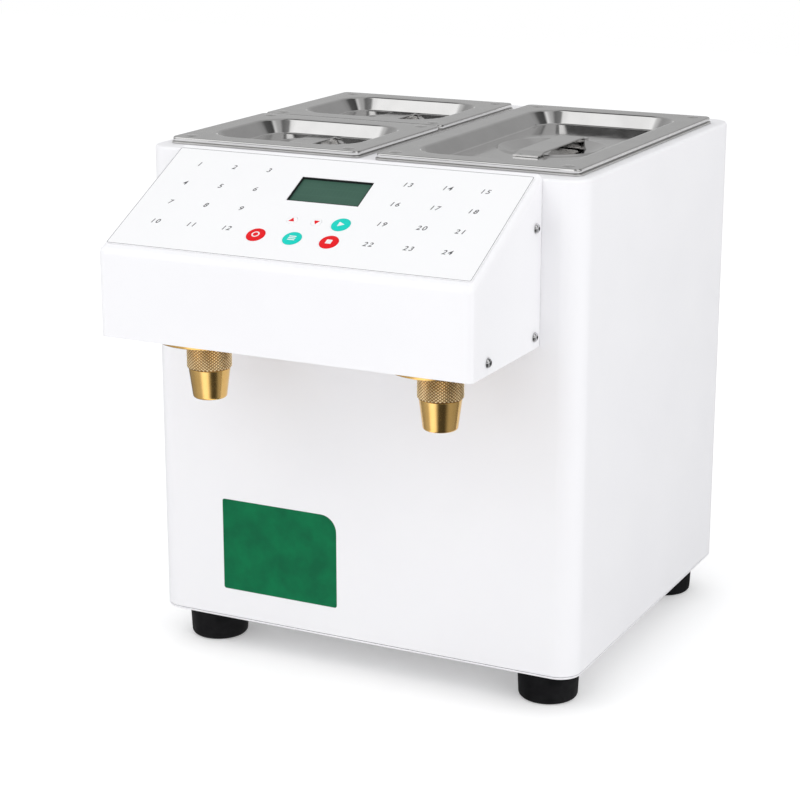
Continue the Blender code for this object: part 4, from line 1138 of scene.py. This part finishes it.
def buildPins():
    low, _, centre = boxOf("power_socket")
    outline = roundedRect(*rear["pin"], 3)
    bm = bmesh.new()
    for across, rise in rear["pinsAt"]:
        x, z = centre.x + across, centre.z + rise
        rings = []
        for along, share in zip(rear["pinSpan"], rear["pinShares"]):
            rings.append([(x + side * share, low.y + along, z + up * share) for side, up in outline])
        skinRings(bm, rings)
    mount(makePiece("socket_pins", bm, "plateAluminium"), "cabinet")


def buildRockerMarks():
    middleX, _, middleZ = boxOf("switch_rocker")[2]
    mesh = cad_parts["switch_rocker"].data
    bm = bmesh.new()
    # the rocker's two outer faces slope away from its middle line
    for sign in (-1, 1):
        limit = middleZ * sign + rear["rockerMiddle"]
        faces = [face for face in mesh.polygons if face.normal.y > 0.9 and face.center.z * sign > limit]
        normal = max(faces, key=lambda face: face.area).normal.normalized()
        up = Vector((0, -normal.z, normal.y)).normalized()
        points = [mesh.vertices[index].co for face in faces for index in face.vertices]
        middle = sum(points, Vector()) / len(points)
        place = Matrix((up.cross(normal), up, normal)).transposed().to_4x4()
        place.translation = (middleX, middle.y, middle.z)
        if sign > 0:
            rings = [atHeight(roundedRect(*rear["bar"], 2), lift) for lift in (-hair, 2 * hair)]
        else:
            rings = turnRings(bandSpots(*rear["ring"], -hair, 2 * hair), 28)
        skinRings(bm, placed(rings, place), closed=sign < 0)
    mount(makePiece("rocker_marks", bm, "paleInk"), "switch_rocker")


buildRear()
buildPins()
buildRockerMarks()
print("rear dressed")


# inside: hoses, and finishes for the nodes that stay

# points nearer than merge become one; the turns say which triangles join to a four-sided face
hose = {"merge": 0.01 * mm, "faceTurn": 0.7, "shapeTurn": 3.1, "rounds": 2}
keptFinishes = {
    "whitePowderCoat": ["rear_panel", "head_chassis"],
    "displayGrey": ["display_module"],
    "circuitBoard": ["control_board"],
    "blackPlastic": ["power_socket", "switch_frame", "switch_rocker"],
    "motorZinc": ["power_supply", *[f"{side}_pump_motor" for side in bothSides]],
    "drawnSteel": [f"{side}_{kind}" for side in bothSides
                   for kind in ("tank_outlet", "pump_body", "drive_gear", "idler_gear", "pump_bracket")],
}


def buildHose(name):
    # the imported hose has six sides; this one is round
    bm = bmesh.new()
    bm.from_mesh(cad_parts[name].data)
    bmesh.ops.remove_doubles(bm, verts=bm.verts, dist=hose["merge"])
    turns = {"angle_face_threshold": hose["faceTurn"], "angle_shape_threshold": hose["shapeTurn"]}
    bmesh.ops.join_triangles(bm, faces=bm.faces, **turns)
    piece = makePiece(name.replace("_hose", "_tube"), bm, "hoseSilicone", sharp=60)
    soft = piece.modifiers.new("round", "SUBSURF")
    soft.levels = soft.render_levels = hose["rounds"]
    mount(piece, "cabinet", name)


for hoseSide in bothSides:
    for hoseKind in ("suction", "delivery"):
        buildHose(f"{hoseSide}_{hoseKind}_hose")
for finishName, nodeNames in keptFinishes.items():
    for nodeName in nodeNames:
        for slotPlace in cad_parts[nodeName].material_slots:
            slotPlace.material = finishes[finishName]
print("inner pieces dressed")


# studio

studio = {
    "floorSize": 9.0,
    "floorDrop": 0.05 * mm,
    "floorSpeck": 3 * mm,
    "floorColour": (0.92, 0.92, 0.925),
    "floorShade": 0.85,  # share of the floor's look that is real light, so that it keeps the shadow
    "floorGlow": 0.26,
    "ambient": 0.90,
    "wallGlow": 1.08,  # strength of the bands that metal mirrors, on walls and floor
    "mirrorGlow": 1.5,
    # what polished metal sees all round, by angle from the front: below it, on the floor
    "floorBands": [
        (-180, 0.16), (-105, 0.16), (-75, 0.26), (-30, 0.40), (-11, 1.0), (1, 1.0), (22, 0.05), (42, 0.04),
        (66, 0.30), (92, 0.26), (125, 0.14), (180, 0.12),
    ],
    # and beside it, on the walls of the studio
    "wallBands": [
        (-180, 0.36), (-150, 0.41), (-120, 0.36), (-95, 0.32), (-76, 0.55), (-58, 1.0), (-14, 1.0), (2, 0.30),
        (42, 0.30), (58, 0.85), (88, 0.85), (104, 0.06), (128, 0.08), (150, 0.28), (180, 0.36),
    ],
    # and above it
    "roofBands": [
        (-180, 0.40), (-158, 0.34), (-138, 0.06), (-68, 0.06), (-52, 0.85), (-15, 0.85), (5, 0.2), (40, 0.15),
        (62, 0.40), (180, 0.40),
    ],
    "roofRise": [(0.0, 0.0), (0.82, 0.0), (0.89, 1.0), (1.0, 1.0)],  # where walls turn to roof
    "horizonRise": [(0.0, 1.0), (0.02, 1.0), (0.1, 0.0), (1.0, 0.0)],  # and the floor's white to walls
    # each lamp's place, size and power
    "lamps": {
        "keyBox": ((-1.30, -1.70, 2.35), 2.0, 14.5),
        "fillBox": ((2.0, -0.7, 1.3), 1.4, 9.3),
        "lowBox": ((-0.5, -2.4, 0.4), 1.2, 3.2),
    },
    "lampAim": (0, 0.05, 0.25),
}
camera = {
    "place": (0.8177, -1.67085, 0.7476),
    "tilt": 74.2,
    "turn": 26.6,
    "lens": 96.93,
    "sensor": 36,
}


def rampOf(tree, value, stops):
    ramp = addNode(tree, "ValToRGB")
    ramp.color_ramp.interpolation = "EASE"
    elements = ramp.color_ramp.elements
    for element, (position, level) in zip(elements, (stops[0], stops[-1])):
        element.position, element.color = position, (level, level, level, 1)
    for position, level in stops[1:-1]:
        elements.new(position).color = (level, level, level, 1)
    tree.links.new(value, ramp.inputs["Fac"])
    return ramp.outputs["Color"]


def calculate(tree, operation, first, second):
    return addNode(tree, "Math", {0: first, 1: second}, operation=operation).outputs[0]


def bandsAround(tree, parts, bands):
    around = calculate(tree, "ARCTAN2", parts[0], calculate(tree, "MULTIPLY", parts[1], -1))
    around = calculate(tree, "ADD", calculate(tree, "DIVIDE", around, 2 * math.pi), 0.5)
    return rampOf(tree, around, [(angle / 360 + 0.5, level) for angle, level in bands])


def seenBy(tree, look, others):
    # camera, mirror and see-through rays meet another look of the studio; the rest only bring light
    path = addNode(tree, "LightPath").outputs
    for ray, other in others.items():
        look = addNode(tree, "MixShader", {0: path[f"Is {ray} Ray"], 1: look.outputs[0], 2: other.outputs[0]})
    return look.outputs[0]


def lightWorld():
    world = bpy.data.worlds.new("softStudio")
    bpy.context.scene.world = world
    world.use_nodes = True
    tree = world.node_tree
    plain = tree.nodes["Background"]
    feed(tree, plain, {"Color": (0.985, 0.99, 1, 1), "Strength": studio["ambient"]})
    parts = addNode(tree, "SeparateXYZ", {0: addNode(tree, "TexCoord").outputs["Generated"]}).outputs
    walls, roof = (bandsAround(tree, parts, studio[bands]) for bands in ("wallBands", "roofBands"))
    around = mixColours(tree, rampOf(tree, parts[2], studio["roofRise"]), walls, roof)
    around = mixColours(tree, rampOf(tree, parts[2], studio["horizonRise"]), around, (1, 1, 1))
    mirrored = addNode(tree, "Background", {"Color": around, "Strength": studio["wallGlow"]})
    white = addNode(tree, "Background", {"Color": (1, 1, 1, 1), "Strength": 1})
    look = seenBy(tree, plain, {"Glossy": mirrored, "Camera": white, "Transmission": white})
    tree.links.new(look, tree.nodes["World Output"].inputs["Surface"])


def addLamp(name, place, size, power):
    lamp = bpy.data.lights.new(name, "AREA")
    lamp.shape = "SQUARE"
    lamp.size = size
    lamp.energy = power
    holder = addObject(name, lamp)
    holder.location = place
    holder.rotation_euler = (Vector(studio["lampAim"]) - Vector(place)).to_track_quat("-Z", "Y").to_euler()
    holder.visible_glossy = False  # metal sees the soft bands of the walls and floor instead


def layFloor():
    half = studio["floorSize"] / 2
    bm = bmesh.new()
    corners = ((-half, -half), (half, -half), (half, half), (-half, half))
    bm.faces.new([bm.verts.new((x, y, 0)) for x, y in corners])
    floor = makePiece("studio_floor", bm, None)
    floor.location.z = -studio["floorDrop"]
    material, tree, shader, place = startMaterial("studioFloor")
    speck = mapValue(tree, addNoise(tree, place, studio["floorSpeck"], 2), (0.3, 0), (0.7, 1))
    white = studio["floorColour"]
    colour = mixColours(tree, speck, white, tuple(level * 0.985 for level in white))
    feed(tree, shader, {"Base Color": colour, "Roughness": 0.9})
    shade = addNode(tree, "BsdfDiffuse", {"Color": (*[studio["floorShade"]] * 3, 1)})
    glow = addNode(tree, "Emission", {"Color": (1, 1, 1, 1), "Strength": studio["floorGlow"]})
    both = addNode(tree, "AddShader", {0: shade.outputs[0], 1: glow.outputs[0]})
    around = bandsAround(tree, addNode(tree, "SeparateXYZ", {0: place}).outputs, studio["floorBands"])
    mirrored = addNode(tree, "Emission", {"Color": around, "Strength": studio["mirrorGlow"]})
    look = seenBy(tree, shader, {"Camera": both, "Transmission": both, "Glossy": mirrored})
    tree.links.new(look, tree.nodes["Material Output"].inputs["Surface"])
    floor.data.materials.append(material)


def placeCamera():
    lens = bpy.data.cameras.new("photoCamera")
    lens.lens = camera["lens"]
    lens.sensor_width = camera["sensor"]
    holder = addObject("photoCamera", lens)
    holder.location = camera["place"]
    holder.rotation_euler = (math.radians(camera["tilt"]), 0, math.radians(camera["turn"]))
    bpy.context.scene.camera = holder


bpy.context.scene.view_settings.view_transform = "Standard"
lightWorld()
for lampName, lampSettings in studio["lamps"].items():
    addLamp(lampName, *lampSettings)
layFloor()
placeCamera()
print("studio ready")
